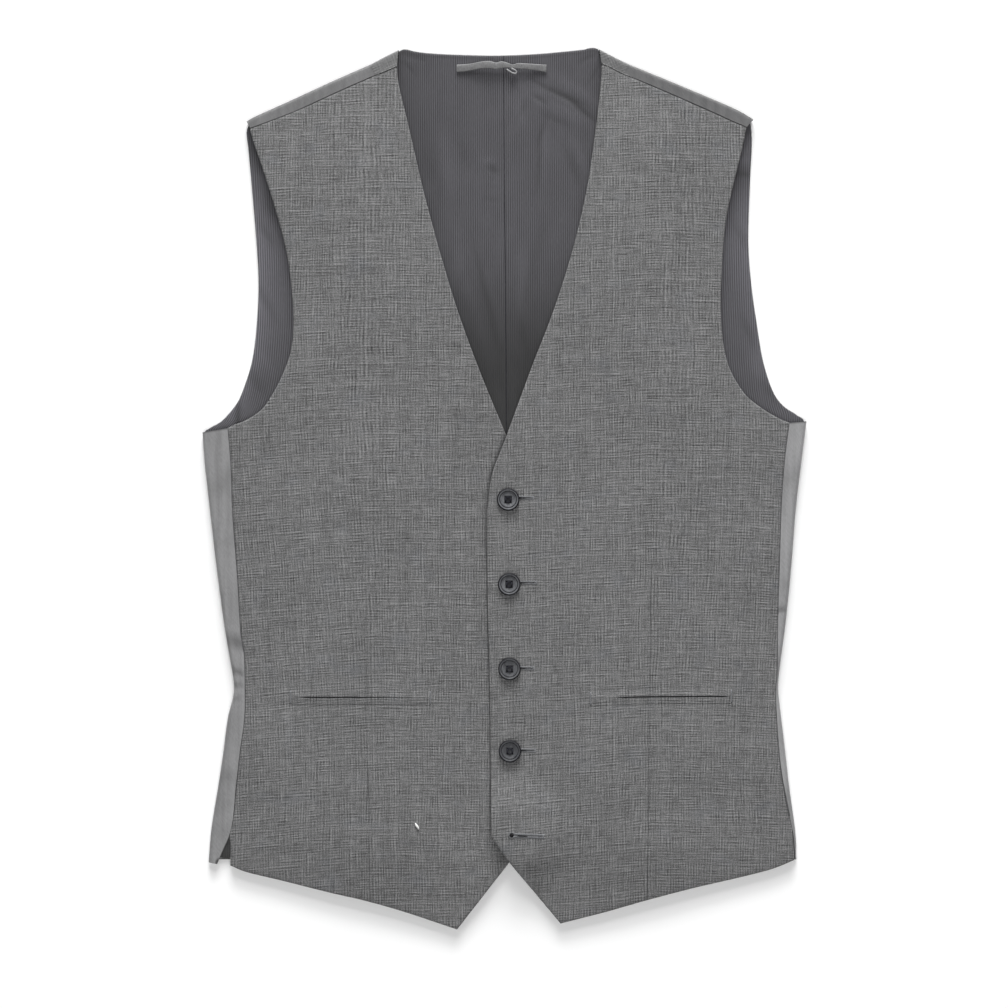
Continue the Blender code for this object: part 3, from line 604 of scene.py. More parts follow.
# Painted shade along the pressed line of each dart, patchy along its length.
for dart_x, dart_y, foot_x, foot_y in DART_LINES:
    lean = (foot_x - dart_x) / (foot_y - dart_y)
    away = wool.calc("ABSOLUTE", wool_x - (wool_y * lean + (dart_x - lean * dart_y) * MM))
    dart = (away * (-1.0 / (DART_LINE_WIDTH * MM)) + 1.0).at_least(0.0)
    dart = dart * wool.calc("LESS_THAN", wool_y, dart_y * MM)
    pull = wool.noise(wool_place, (60.0, 34.0), 1.0) * 2.6 + 0.42
    wool_color = wool.blend(dart * pull.at_most(0.75).at_least(0.12), wool_color, DART_SHADOW_COLOR)
# Painted shade: each point's stored share darkens the wool.
wool.paint(wool.stored("painted_shade"), wool_color, WOOL_SHADOW_COLOR)
wool.bump(wool_lines + wool_fleck, 0.10, 0.7)


def give_grain(piece, u, v):
    """Stores each point's place on the flat cloth."""
    layer = piece.data.attributes.new("grain", "FLOAT_VECTOR", "POINT")
    layer.data.foreach_set("vector", (np.stack([u, v, 0.0 * u], axis=1) * MM).astype(np.float32).ravel())


band_left_fold, band_left_seam = seam_lines(LEFT_SHOULDER[BAND_ROW:], even(BAND_ROWS))
band_right_fold, band_right_seam = seam_lines(RIGHT_SHOULDER[BAND_ROW:], even(BAND_ROWS))
band_left_foot = foot_of(band_left_fold, band_left_seam)
band_right_foot = foot_of(band_right_fold, band_right_seam)
band_across = even(4 * NECK_COLUMNS)
band_middle = centre_back(BAND_SEAM_CENTRE_Y + SEAM_GAP, 0)
band_low = curve(
    np.vstack([band_left_foot[0], BAND_SEAM_LEFT, band_middle, BAND_SEAM_RIGHT[::-1], band_right_foot[0]]),
    band_across,
)
band_high = curve(np.vstack([band_left_foot[-1], NECK_EDGE, band_right_foot[-1]]), band_across)
band_flat = on(
    flat_surface, patch(band_low, band_high, band_left_foot, band_right_foot, band_across, even(BAND_ROWS)),
)
band_left_wrap = turned_edge(band_left_fold, band_left_seam, SHOULDER_ROWS, flat_surface, PRESSED_FOLD)
band_right_wrap = turned_edge(band_right_fold, band_right_seam, SHOULDER_ROWS, flat_surface, PRESSED_FOLD)
band_left_wrap[:, 0] = band_flat[:, 0]
band_right_wrap[:, 0] = band_flat[:, -1]
# The band is cut on the bias and steamed smooth: paler, and the check hardly shows.
band_wool = wool.material.copy()
band_wool.name = "band_wool"
for socket, value in zip(band_wool.node_tree.nodes["contrast"].inputs[1:], BAND_CONTRAST):
    socket.default_value = value
neck_band = sewn(
    "wool_neck_band", [inner_side(band_flat), band_left_wrap, inner_side(band_right_wrap)],
    band_wool, satin_edge_shade.material,
)
band_x, band_y = plan_of(neck_band)
give_grain(neck_band, band_x * BIAS[0] + band_y * BIAS[1], band_y * BIAS[0] - band_x * BIAS[1])
# Painted shade on the band's rims that turn towards the neck, and over its right half.
give_painted_shade(neck_band, np.maximum(shade_towards_lamps(neck_band, 0.32), 0.16 * (band_x > 0.0)))
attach(neck_band, "root")
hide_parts("back_neck_band")

# ----------------------------------------------------------------------------------------------
# BACK LINING. Two panels of dark ribbed lining inside the back, joined down the middle with an
# ease pleat that opens at the neck, and felled to the back along the neck and the armholes.
# It is a little too large for the back, so it lies in slack creases below the neck.
# ----------------------------------------------------------------------------------------------
def graded(*stops):
    """Shares from 0 to 1, given as (share, steps from there to the next)."""
    spans = [np.linspace(a, b, count + 1)[1:] for (a, count), (b, _) in zip(stops, stops[1:])]
    return np.concatenate([[stops[0][0]], *spans])


LINING_TOP = 2.3
LINING_THICKNESS = 1.0
LINING_INSET = 0.25
LINING_ROLL = 0.4
LINING_SLACK = 0.12
LINING_CREASE_SHARE = 0.42
LINING_CORNER = 1.5
LINING_ALONG = graded((0.0, 30), (0.45, 190), (1.0, 0))
LINING_ACROSS = graded((0.0, 26), (0.18, 14), (0.55, 80), (1.0, 0))
RIB_PITCH = 1.65
LINING_COLOR = (0.168, 0.164, 0.187)
LINING_SHADE = (0.058, 0.056, 0.064)
LINING_SHADOW_COLOR = (0.004, 0.004, 0.004)
# The neck lies within this distance of the middle; beyond it are the armholes.
NECK_REACH = 115.0
LINING_NECK_LEFT = (
    (-79.1, 327.5), (-77.7, 329.1), (-75.0, 329.9), (-72.0, 329.5), (-69.0, 328.7),
    (-62.0, 327.5), (-48.0, 326.3), (-21.0, 325.3),
)
LINING_NECK_RIGHT = ((71.3, 327.8), (70.2, 329.8), (67.2, 331.0), (62.5, 330.6), (57.0, 329.4), (25.5, 326.4))
LINING_NECK_CENTRE = 325.1
LINING_CREASES = (
    # x, y, to_x, to_y, width, depth
    (18, 309, 34, 299, 1.5, 0.55), (29, 301.5, 60, 287.5, 1.9, 1.25), (46, 294, 70, 274, 1.9, 1.15),
    (40, 308, 72, 286, 4.0, -0.75), (21, 295.5, 32, 288.5, 1.5, 1.10), (26, 292, 62, 272, 4.5, -0.70),
    (28, 281, 48, 272, 2.0, 0.50), (29, 274, 25, 256, 1.6, 0.75), (26.5, 262, 25, 222, 1.9, 0.70),
    (31, 268, 30, 228, 3.0, -0.55), (8, 292, 16, 268, 3.6, -0.50), (16, 290, 10, 276, 2.0, 0.45),
    (44, 258, 58, 226, 3.6, 0.60), (50, 262, 66, 232, 4.0, -0.40), (-78, 326.5, -58, 321, 1.4, 0.70),
    (-77.5, 321, -66, 310, 1.6, 0.50), (69, 326, 56, 320, 1.6, 0.60), (71, 318, 64, 304, 1.8, 0.50),
    (-12, 241.5, -4, 236, 2.6, 0.90), (-20, 246, -6, 245, 3.0, -0.45), (-34, 262, -28, 238, 3.4, 0.45),
    (-46, 270, -42, 226, 6.0, -0.50), (-60, 268, -50, 214, 6.0, 0.50), (-16, 218, -2, 216, 2.0, 0.30),
    (-22, 178, -3, 100, 2.6, 1.00), (-29, 158, -12, 96, 3.4, -0.70), (-38, 200, -34, 150, 5.0, -0.45),
    (10, 134, 20, 86, 2.4, 0.85), (14, 166, 8, 112, 3.4, -0.60), (30, 200, 18, 150, 4.5, 0.50),
    (-178, 214, -172, 204, 2.0, 0.60), (-184, 200, -174, 182, 2.6, 0.70), (-190, 160, -172, 126, 3.0, 0.70),
    (-199.4, 68, -200.3, 44, 1.6, 1.50), (-203.5, 64, -205.5, 46, 2.2, -0.60),
    (-194, 92, -180, 70, 3.5, 0.75), (-186, 104, -172, 84, 4.0, -0.45),
    (170, 238, 188, 234, 2.4, 0.90), (172, 246, 186, 246, 4.0, -0.50),
    (172, 200, 184, 178, 3.0, 0.55), (178, 130, 188, 104, 3.2, 0.70), (190, 84, 206, 62, 3.0, 0.80),
    (184, 96, 196, 74, 3.4, -0.50),
)
# Share of full light on the lining in each armhole: at the outer edge and beside the front.
LEFT_ARM_LIGHT = np.array((
    # y, at the edge, beside the front
    (44.0, 0.58, 0.32), (59.0, 0.72, 0.34), (89.0, 0.82, 0.36), (119.0, 0.94, 0.46), (172.0, 1.00, 0.54),
    (194.0, 0.92, 0.48), (216.0, 0.70, 0.36), (235.0, 0.62, 0.32), (254.0, 0.36, 0.22),
))
RIGHT_ARM_LIGHT = np.array((
    (50.0, 0.60, 0.34), (89.0, 0.66, 0.42), (119.0, 0.74, 0.44), (172.0, 0.88, 0.56), (194.0, 0.86, 0.54),
    (216.0, 0.72, 0.48), (235.0, 0.48, 0.28), (254.0, 0.56, 0.46),
))
# Edges of the neck opening, which the fronts make, from the top button to the shoulders.
V_LEFT_EDGE = np.array((
    (18.8, -4.9), (1.5, 39.4), (-18.8, 88.9), (-35.2, 133.9), (-48.8, 178.9),
    (-60.8, 223.9), (-71.2, 268.9), (-79.0, 302.0), (-80.5, 316.8),
))
V_RIGHT_EDGE = np.array((
    (-12.8, -15.4), (-9.2, 11.2), (0.8, 37.9), (19.5, 88.9), (36.8, 133.9), (51.0, 178.9),
    (61.5, 223.9), (68.2, 268.9), (72.0, 301.9), (73.1, 318.8),
))

lining = Finish("lining_stripe", Roughness=0.55, Sheen_Weight=0.15)
lining_place = lining.place()
rib_x = lining.split(lining.stored("grain", "Vector"))[0]
rib_phase = rib_x * (2 * math.pi / (RIB_PITCH * MM)) + lining.noise(lining_place, (30.0, 90.0), 1.0) * 6.0
ribs = rib_phase.sine() * (lining.noise(lining_place, (9.0, 22.0), 1.0) * 3.2 + 0.80)
lining_tone = ribs * 0.72 + lining.noise(lining_place, (45.0, 60.0)) * 0.55
lining_tone = lining_tone + lining.noise(lining_place, (0.7, 4.0), 1.0) * 0.5
lining_color = lining.blend(lining_tone + 0.5, LINING_SHADE, LINING_COLOR)
# Painted shade: each point's stored share darkens the lining.
lining.paint(lining.stored("painted_shade"), lining_color, LINING_SHADOW_COLOR)
lining.bump(ribs, 0.08, 0.8)


def lining_height(x, y):
    slack = LINING_SLACK * np.sin(x / 19.0 + 0.6) * np.sin(y / 37.0 + 1.1)
    calm = ease(inside_side(x, y) / 9.0)
    return LINING_TOP + (LINING_CREASE_SHARE * creased(x, y, LINING_CREASES) + slack) * calm


def rib_place(x, y):
    """Place across the ribs, which lean along each armhole."""
    for edge, side, lean in ((LEFT_BACK_ARMHOLE, 1.0, 0.50), (RIGHT_BACK_ARMHOLE, -1.0, 0.22)):
        x = x - lean * (x_at(edge, y) - edge[-1, 0]) * (x * side < -NECK_REACH)
    return x


def edge_loop(bottom, top, left, right):
    """Closed loop round four edges, without doubled corners."""
    return np.vstack([bottom, right[1:], top[-2::-1], left[-2:0:-1]])


def inset_line(line, distance):
    """The line moved to its left, square to each of its steps."""
    way = unit(np.diff(line, axis=0))
    normal = np.stack([-way[:, 1], way[:, 0]], axis=1)
    after = np.vstack([normal, normal[-1:]])
    miter = np.vstack([normal[:1], normal]) + after
    return line + miter / np.maximum(np.sum(miter * after, axis=1), 0.5)[:, None] * distance


def between(line, first, last):
    """The line cut at two corners, with its points spread as they were before."""
    body = line[1:-1]
    start, stop = [np.argmin(np.linalg.norm(body - corner, axis=1)) for corner in (first, last)]
    cut = np.vstack([first, body[start + 1:stop], last])
    before = lengths_along(line)
    reach = lengths_along(cut)
    want = before / before[-1] * reach[-1]
    return np.stack([np.interp(want, reach, cut[:, k]) for k in range(2)], axis=1)


def laid_cloth(name, finish, edges, across, along, height, thickness, roll, roll_steps=4):
    """Sheet over four edges with rounded edges all round: top face, rolled edge, underside."""
    bottom, top, left, right = edges
    columns = len(across)
    rows = len(along)
    loop = edge_loop(*edges)
    inner = inset_line(np.vstack([loop[-1:], loop, loop[:1]]), roll)[1:-1]
    a, b, c, d = inner[np.cumsum([0, columns - 1, rows - 1, columns - 1])]
    in_edges = (
        between(inset_line(bottom, roll), a, b),
        between(inset_line(top[::-1], roll), c, d)[::-1],
        between(inset_line(left[::-1], roll), d, a)[::-1],
        between(inset_line(right, roll), b, c),
    )
    outward = (loop - edge_loop(*in_edges)) / roll
    top_face = on(height, patch(*in_edges, across, along)).reshape(-1, 3)
    number = np.arange(rows * columns).reshape(rows, columns)
    ring = edge_loop(*[part[:, None] for part in (number[0], number[-1], number[:, 0], number[:, -1])])[:, 0]
    points = [top_face, top_face - [0.0, 0.0, thickness]]
    faces = [grid_faces(number), grid_faces(number)[:, ::-1] + rows * columns]
    last = ring
    start = 2 * rows * columns
    for step in range(1, roll_steps + 1):
        angle = math.pi * step / (roll_steps + 1)
        rim = top_face[ring]
        rim[:, :2] += outward * roll * math.sin(angle)
        rim[:, 2] -= thickness / 2 * (1 - math.cos(angle))
        points.append(rim)
        here = start + np.arange(len(ring))
        faces.append(np.stack([last, here, np.roll(here, -1), np.roll(last, -1)], axis=1))
        last = here
        start += len(ring)
    low = ring + rows * columns
    faces.append(np.stack([last, low, np.roll(low, -1), np.roll(last, -1)], axis=1))
    made = smooth_mesh(name, np.concatenate(points), np.concatenate(faces).tolist())
    finish.wear(made)
    return made


def arm_light(x, y, armhole, table):
    """Light on the lining inside an armhole, from its own edge to the front's."""
    edge = curve(armhole, even(60))
    away = np.min(np.hypot(x[:, None] - edge[None, :, 0], y[:, None] - edge[None, :, 1]), axis=1)
    outer = np.interp(y, table[:, 0], table[:, 1])
    inner = np.interp(y, table[:, 0], table[:, 2])
    return inner + (outer - inner) * np.exp(-away / 9.0)


def lining_painted_shade(x, y):
    """Painted shade on the lining, 1 less its share of full light: beside the fronts' edges, deep in the
    neck, along the neck edge, in the armholes, in its creases and in the vent; a little painted light below
    the loop and on the creases' ridges.
    """
    from_left = np.maximum(x - x_at(V_LEFT_EDGE, y), 0.0)
    from_right = np.maximum(x_at(V_RIGHT_EDGE, y) - x, 0.0)
    beside = (1.0 - 0.34 * np.exp(-from_left / 13.0)) * (1.0 - 0.20 * np.exp(-from_right / 10.0))
    deep = 1.0 - 0.86 * ease((190.0 - y) / 105.0)
    below_loop = 0.10 * np.exp(-((x - 14.0) / 16.0) ** 2 - ((y - 304.0) / 13.0) ** 2)
    below = y_at(np.vstack([LINING_NECK_LEFT, LINING_NECK_RIGHT[::-1]]), x) - y
    rolled = 1.0 - 0.30 * np.exp(-(below - 1.6) ** 2)
    neck = (0.455 + below_loop) * beside * deep * rolled
    left_arm = arm_light(x, y, LEFT_BACK_ARMHOLE, LEFT_ARM_LIGHT)
    right_arm = arm_light(x, y, RIGHT_BACK_ARMHOLE, RIGHT_ARM_LIGHT)
    light = np.where(np.abs(x) < NECK_REACH, neck, np.where(x < 0.0, left_arm, right_arm))
    folds = np.clip(1.0 + 0.40 * creased(x, y, LINING_CREASES), 0.42, 1.18)
    vent = 1.0 - 0.95 * ease((-235.0 - y) / 20.0)
    return np.clip(1.0 - light * folds * vent, 0.0, 0.97)


def four_edges(bottom, top, outer, inner, across, mirror):
    """Edges of a half of the garment in the order of a patch, and the shares across it."""
    if mirror:
        return (bottom[::-1], top[::-1], inner, outer), 1.0 - across[::-1]
    return (bottom, top, outer, inner), across


def back_lining(name, node, side, shoulder, armhole, neck, mirror):
    sign = -1.0 if mirror else 1.0
    fold, seam = seam_lines(side, even(SIDE_ROWS))
    foot = foot_of(fold, seam, LINING_INSET)
    top_foot = foot_of(*seam_lines(shoulder, even(SHOULDER_COLUMNS)), LINING_INSET)
    corner = foot_of(fold[-1:], seam[-1:], LINING_INSET - LINING_CORNER)
    inward = (LINING_INSET * sign, 0.0)
    outer = curve(np.vstack([foot[3:-6:8], corner, armhole + inward, top_foot[:1]]), LINING_ALONG)
    along = shares_up(outer)
    neck_top = centre_back(LINING_NECK_CENTRE, -sign)
    top = curve(np.vstack([top_foot[:-4:4], top_foot[-1:], neck, neck_top]), LINING_ACROSS)
    hem = centre_back(outer[0][1], -sign)
    bottom = outer[0] + (hem - outer[0]) * LINING_ACROSS[:, None]
    centre = hem + (neck_top - hem) * along[:, None]
    edges, across = four_edges(bottom, top, outer, centre, LINING_ACROSS, mirror)
    panel = laid_cloth(name, lining, edges, across, along, lining_height, LINING_THICKNESS, LINING_ROLL)
    x, y = plan_of(panel)
    # Painted shade and light on the lining.
    give_painted_shade(panel, lining_painted_shade(x, y))
    give_grain(panel, rib_place(x, y), y)
    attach(panel, "root")
    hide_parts(node)


back_lining(
    "ribbed_lining_left", "back_lining_left", LEFT_SIDE, LEFT_SHOULDER, LEFT_BACK_ARMHOLE,
    LINING_NECK_LEFT, False,
)
back_lining(
    "ribbed_lining_right", "back_lining_right", RIGHT_SIDE, RIGHT_SHOULDER, RIGHT_BACK_ARMHOLE,
    LINING_NECK_RIGHT, True,
)


def threads(name, finish, lines, sides=6):
    """One mesh of round threads with closed ends, each given as (points, radius)."""
    all_points = []
    faces = []
    start = 0
    angle = np.arange(sides) * 2 * math.pi / sides
    for line, radius in lines:
        way = unit(np.gradient(line, axis=0))
        side = np.cross(way, [0.0, 0.0, 1.0])
        side = side / np.maximum(np.linalg.norm(side, axis=1), 1e-9)[:, None]
        up = np.cross(side, way)
        ring = side[:, None] * np.cos(angle)[None, :, None] + up[:, None] * np.sin(angle)[None, :, None]
        points = line[:, None] + ring * np.broadcast_to(radius, len(line))[:, None, None]
        number = start + np.arange(len(line) * sides).reshape(len(line), sides)
        after = np.roll(number, -1, axis=1)
        faces += np.stack([number[:-1], number[1:], after[1:], after[:-1]], -1).reshape(-1, 4).tolist()
        faces += [number[0].tolist(), number[-1][::-1].tolist()]
        all_points.append(points.reshape(-1, 3))
        start += number.size
    made = smooth_mesh(name, np.concatenate(all_points), faces)
    finish.wear(made)
    return made


CENTRE_SEAM_TOP_Y = 324.8
CENTRE_SEAM_POINTS = 120
CENTRE_SEAM_RADIUS = 0.36
CENTRE_SEAM_SUNK = 0.42

seam_y = np.linspace(BACK_HEM_Y, CENTRE_SEAM_TOP_Y, CENTRE_SEAM_POINTS)
seam_z = np.full(CENTRE_SEAM_POINTS, LINING_TOP - CENTRE_SEAM_SUNK)
seam_line = np.column_stack([*centre_back(seam_y, 0), seam_z])
seam_dark = plain_finish(
    "seam_shade", (0.6, 2.0, 0.6), 1.0, 1.0, (0.010, 0.010, 0.012), (0.050, 0.049, 0.055),
    Roughness=0.9, Specular_IOR_Level=0.0,
)
centre_seam = threads("centre_back_seam", seam_dark, [(seam_line, CENTRE_SEAM_RADIUS)], 8)
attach(centre_seam, "root")

# ----------------------------------------------------------------------------------------------
# HANGER LOOP. A satin tape, folded and pressed, tacked to the neck at both ends. It has been
# hung from, so it stands off in two soft humps and is pinched between them. A small thread loop
# for a spare button hangs out below it.
# ----------------------------------------------------------------------------------------------
TAPE_THICKNESS = 0.9
TAPE_COLUMNS = 120
TAPE_ROWS = 10
TAPE_ROLL = 0.35
TAPE_CROWN = 0.35
TAPE_EDGES = np.array((
    # x, low_y, high_y, lift
    (-36.0, 312.9, 318.2, 0.35), (-32.3, 312.8, 318.3, 0.40), (-26.0, 313.6, 318.8, 0.70),
    (-18.0, 315.1, 320.2, 1.60), (-11.3, 315.1, 320.7, 2.10), (-6.3, 314.6, 319.5, 1.70),
    (-2.3, 315.2, 320.4, 2.10), (3.0, 315.7, 319.2, 1.60), (6.0, 315.4, 318.0, 1.30),
    (10.1, 315.0, 319.1, 1.60), (16.0, 314.6, 318.9, 1.50), (24.0, 313.8, 318.5, 0.90),
    (28.5, 313.0, 318.2, 0.45), (31.5, 312.4, 318.2, 0.35),
))
TAPE_COLOR = (0.172, 0.172, 0.174)
TAPE_SHADE = (0.095, 0.095, 0.097)

tape = Finish("loop_satin", Roughness=0.5, Sheen_Weight=0.2)
tape_place = tape.place()
tape_cord = tape.noise(tape_place, (0.7, 2.0), 1.0)
tape.paint(tape_cord * 1.8 + tape.noise(tape_place, (7.0, 3.0)) * 1.4 + 0.5, TAPE_SHADE, TAPE_COLOR)
tape.bump(tape_cord, 0.08)


def tape_height(x, y):
    lift = np.interp(x, TAPE_EDGES[:, 0], TAPE_EDGES[:, 3])
    middle = np.interp(x, TAPE_EDGES[:, 0], (TAPE_EDGES[:, 1] + TAPE_EDGES[:, 2]) / 2)
    return LINING_TOP + TAPE_THICKNESS + lift + TAPE_CROWN * np.cos((y - middle) / 2.2)


def straight_ends(low, high, rows):
    """A strip's four edges: its two long ones, joined at both ends by straight lines."""
    ends = [low[k] + (high[k] - low[k]) * even(rows)[:, None] for k in (0, -1)]
    return low, high, ends[0], ends[1]


tape_low = curve(TAPE_EDGES[:, [0, 1]], even(TAPE_COLUMNS))
tape_high = curve(TAPE_EDGES[:, [0, 2]], even(TAPE_COLUMNS))
hanger = laid_cloth(
    "hanger_tape", tape, straight_ends(tape_low, tape_high, TAPE_ROWS),
    even(TAPE_COLUMNS), even(TAPE_ROWS), tape_height, TAPE_THICKNESS, TAPE_ROLL,
)
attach(hanger, "root")
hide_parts("hanger_loop")

THREAD_LOOP = (
    # x, y, height over the lining
    (1.2, 316.2, 0.5), (2.0, 314.4, 2.2), (4.0, 312.8, 2.9), (6.4, 311.5, 3.0), (8.4, 311.3, 2.8),
    (9.0, 312.6, 2.8), (7.8, 313.8, 3.0), (6.0, 314.7, 2.8), (4.6, 316.2, 0.8),
)
THREAD_RADIUS = 0.60
CORD_LIGHT = (0.300, 0.300, 0.305)
CORD_SHADE = (0.160, 0.160, 0.165)

cord = plain_finish("loop_cord", (0.6, 0.6, 0.6), 1.0, 1.0, CORD_SHADE, CORD_LIGHT, 0.06, Roughness=0.7)
loop_line = curve(np.array(THREAD_LOOP) + [0.0, 0.0, LINING_TOP], even(60))
thread_loop = threads("spare_button_loop", cord, [(loop_line, THREAD_RADIUS)], 8)
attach(thread_loop, "root")

# ----------------------------------------------------------------------------------------------
# FRONTS. Two fronts of worsted on fused interlining, each shaped by a dart that runs from below
# the chest to the hem. Neck, lap, hem and armhole are turned in and pressed. The one on the
# right laps over the other and is buttoned to it; its fifth buttonhole is left undone.
# ----------------------------------------------------------------------------------------------
FRONT_THICKNESS = 2.2
FRONT_ROLL = 1.1
HEM_DROP = 3.9
HEM_DROP_FROM = -255.0
HEM_DROP_LENGTH = 80.0
CORNER_DROP = 1.7
UNDERLAP_TOP = LINING_TOP + 0.4 + FRONT_THICKNESS
UNDERLAP_FADE = 48.0
BUTTONS = ((2.7, -7.9), (3.5, -71.3), (3.7, -134.6), (4.0, -196.1))
BUTTON_DENT = 0.55
HIDDEN_BUTTON = (5.2, -259.3)
HIDDEN_BUTTON_LIFT = 3.6
HIDDEN_BUTTON_FLAT = 17.0
HIDDEN_BUTTON_FADE = 34.0
OVER_ACROSS = even(120)
UNDER_ACROSS = graded((0.0, 96), (0.82, 36), (0.94, 10), (1.0, 0))
SIDE_SEAM_ROWS = 140
NECKLINE_ROWS = 120
LEFT_FRONT_ARMHOLE = (
    (-203.6, 47.7), (-194.2, 51.3), (-185.2, 56.8), (-177.8, 64.4), (-166.8, 84.0), (-159.4, 106.0),
    (-158.2, 133.9), (-162.8, 175.1), (-174.8, 220.1), (-189.0, 262.9),
)
RIGHT_FRONT_ARMHOLE = (
    (203.5, 54.0), (189.8, 62.6), (177.8, 73.9), (166.4, 96.4), (162.0, 130.0),
    (163.3, 174.0), (167.2, 208.9), (177.8, 253.9),
)
LEFT_VENT_EDGE = ((-205.6, -282.4), (-205.4, -267.0))
RIGHT_VENT_EDGE = ((217.4, -278.2), (216.0, -261.0))
LEFT_HEM = (
    (-205.6, -282.4), (-193.0, -287.4), (-167.2, -293.6), (-132.8, -302.2),
    (-105.0, -308.6), (-74.2, -317.4), (-35.6, -330.4),
)
RIGHT_HEM = (
    (217.4, -278.2), (201.8, -284.6), (179.2, -290.6), (140.2, -299.6),
    (105.8, -308.6), (78.0, -316.6), (42.0, -325.9),
)
LEFT_CUTAWAY = ((-35.6, -330.4), (3.8, -279.7), (18.8, -260.9))
LEFT_BUTTON_EDGE = ((18.8, -260.9), (18.8, -4.9))
RIGHT_CUTAWAY = ((42.0, -325.9), (3.8, -279.5), (-9.8, -260.2))
RIGHT_BUTTON_EDGE = ((-9.8, -260.2), (-10.3, -217.9), (-11.0, -150.4), (-12.8, -73.1), (-12.8, -15.4))
RIGHT_EDGE_LINE = np.vstack([RIGHT_CUTAWAY, RIGHT_BUTTON_EDGE[1:], V_RIGHT_EDGE[1:]])
# The shallow trough along each dart, then the soft creases of the cloth.
DARTS = (
    # x, y, to_x, to_y, width, depth
    (-101, -309, -104.3, -50, 3.4, 0.30), (107, -308, 109.9, -57, 3.4, 0.30),
)
FRONT_CREASES = (
    (-150, 40, -110, 10, 16, 0.35), (-60, 200, -95, 120, 14, -0.30), (-185, -120, -120, -60, 18, 0.35),
    (-40, -90, -120, -130, 16, -0.25), (150, 60, 105, 10, 18, 0.35), (60, 190, 95, 110, 14, -0.30),
    (185, -110, 130, -60, 16, 0.35), (40, -100, 110, -130, 16, -0.25),
    (-150, -240, -80, -255, 14, 0.30), (160, -235, 70, -250, 14, 0.30),
)


def free_height(x, y):
    """Top of a front where nothing lifts it: down past the back's hem, its outer corners pressed."""
    towards_centre = 0.35 + 0.65 * ease(inside_side(x, y) / SIDE_RISE)
    drop = HEM_DROP * ease((HEM_DROP_FROM - y) / HEM_DROP_LENGTH) * towards_centre
    drop = drop + CORNER_DROP * ease((-185.0 - y) / 85.0) * ease((np.abs(x) - 100.0) / 85.0)
    swell = 0.10 * np.sin(x / 21.0 + y / 60.0 + 0.4) * np.sin(y / 33.0 + 1.7)
    calm = ease((inside_side(x, y) - 2.0) / 20.0)
    relief = (creased(x, y, FRONT_CREASES) + swell) * calm + creased(x, y, DARTS)
    return body_height(x, y) - drop + relief


def over_height(x, y):
    """Top of the front that laps over: drawn in under each button, raised over the undone one."""
    reach = np.hypot(x - HIDDEN_BUTTON[0], y - HIDDEN_BUTTON[1])
    lift = HIDDEN_BUTTON_LIFT * ease(1.0 - (reach - HIDDEN_BUTTON_FLAT) / HIDDEN_BUTTON_FADE)
    for button_x, button_y in BUTTONS:
        reach = np.hypot(x - button_x, y - button_y)
        lift = lift - BUTTON_DENT * np.exp(-(reach / 9.5) ** 6)
    return free_height(x, y) + lift


def under_height(x, y):
    """Top of the front that goes under: it comes down onto the lining beside the lap."""
    free = free_height(x, y)
    low = UNDERLAP_TOP - 1.2 * ease((BACK_HEM_Y - y) / 40.0)
    lap = ease(1.0 - (x_at(RIGHT_EDGE_LINE, y) - x - 4.0) / UNDERLAP_FADE)
    return free + (np.minimum(low, free) - free) * lap


def front(name, node, side, shoulder, outline, height, across, mirror):
    """One front inside the back's turned edges. Its outline is vent, armhole, hem, cutaway, lap and neck."""
    vent, armhole, hem, cutaway, button_edge, neckline = outline
    fold, seam = seam_lines(side, even(SIDE_SEAM_ROWS))
    beside = seam[seam[:, 1] > vent[-1][1] + 1.0] + (-SEAM_GAP if mirror else SEAM_GAP, 0.0)
    outer_side = curve(np.vstack([vent, beside[2:-2:3], beside[-1:]]), even(SIDE_SEAM_ROWS))
    fold, seam = seam_lines(shoulder, across)
    top = seam + unit(seam - fold) * SEAM_GAP
    outer_arm = curve(np.vstack([outer_side[-1:], armhole, top[:1]]), even(NECKLINE_ROWS) ** 1.1)
    outer = np.vstack([outer_side, outer_arm[1:]])
    along = shares_up(outer)
    inner = np.vstack([
        curve(cutaway, even(200)),
        curve(button_edge, even(600))[1:],
        curve(np.vstack([neckline[:-1], top[-1:]]), even(800))[1:],
    ])
    heights = inner[0, 1] + (inner[-1, 1] - inner[0, 1]) * along
    for corner in (button_edge[0][1], neckline[0][1]):
        heights[np.argmin(np.abs(heights - corner))] = corner
    inner = np.stack([x_at(inner, heights), heights], axis=1)
    edges, across = four_edges(curve(hem, across), top, outer, inner, across, mirror)
    piece = laid_cloth(name, wool, edges, across, along, height, FRONT_THICKNESS, FRONT_ROLL, 5)
    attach(piece, "root")
    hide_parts(node)
    return piece


under_front = front(
    "wool_front_left", "front_left_under", LEFT_SIDE, LEFT_SHOULDER,
    (LEFT_VENT_EDGE, LEFT_FRONT_ARMHOLE, LEFT_HEM, LEFT_CUTAWAY, LEFT_BUTTON_EDGE, V_LEFT_EDGE),
    under_height, UNDER_ACROSS, False,
)
over_front = front(
    "wool_front_right", "front_right_over", RIGHT_SIDE, RIGHT_SHOULDER,
    (RIGHT_VENT_EDGE, RIGHT_FRONT_ARMHOLE, RIGHT_HEM, RIGHT_CUTAWAY, RIGHT_BUTTON_EDGE, V_RIGHT_EDGE),
    over_height, OVER_ACROSS, True,
)


def slope_of(degrees):
    return math.tan(math.radians(degrees))


def left_grain(x, y):
    """The cloth's own directions: towards the side seam it leans out and its picks drop."""
    lean = slope_of(5.5) * 130.0 * ease((y + 210.0) / 290.0)
    outside = np.maximum(-88.0 - x, 0.0)
    drop = slope_of(5.0) * outside ** 2 / (outside + 30.0)
    level = ease((215.0 - y) / 200.0) * 0.7 + 0.3
    return x + lean * ease((-75.0 - x) / 60.0), y + drop * level


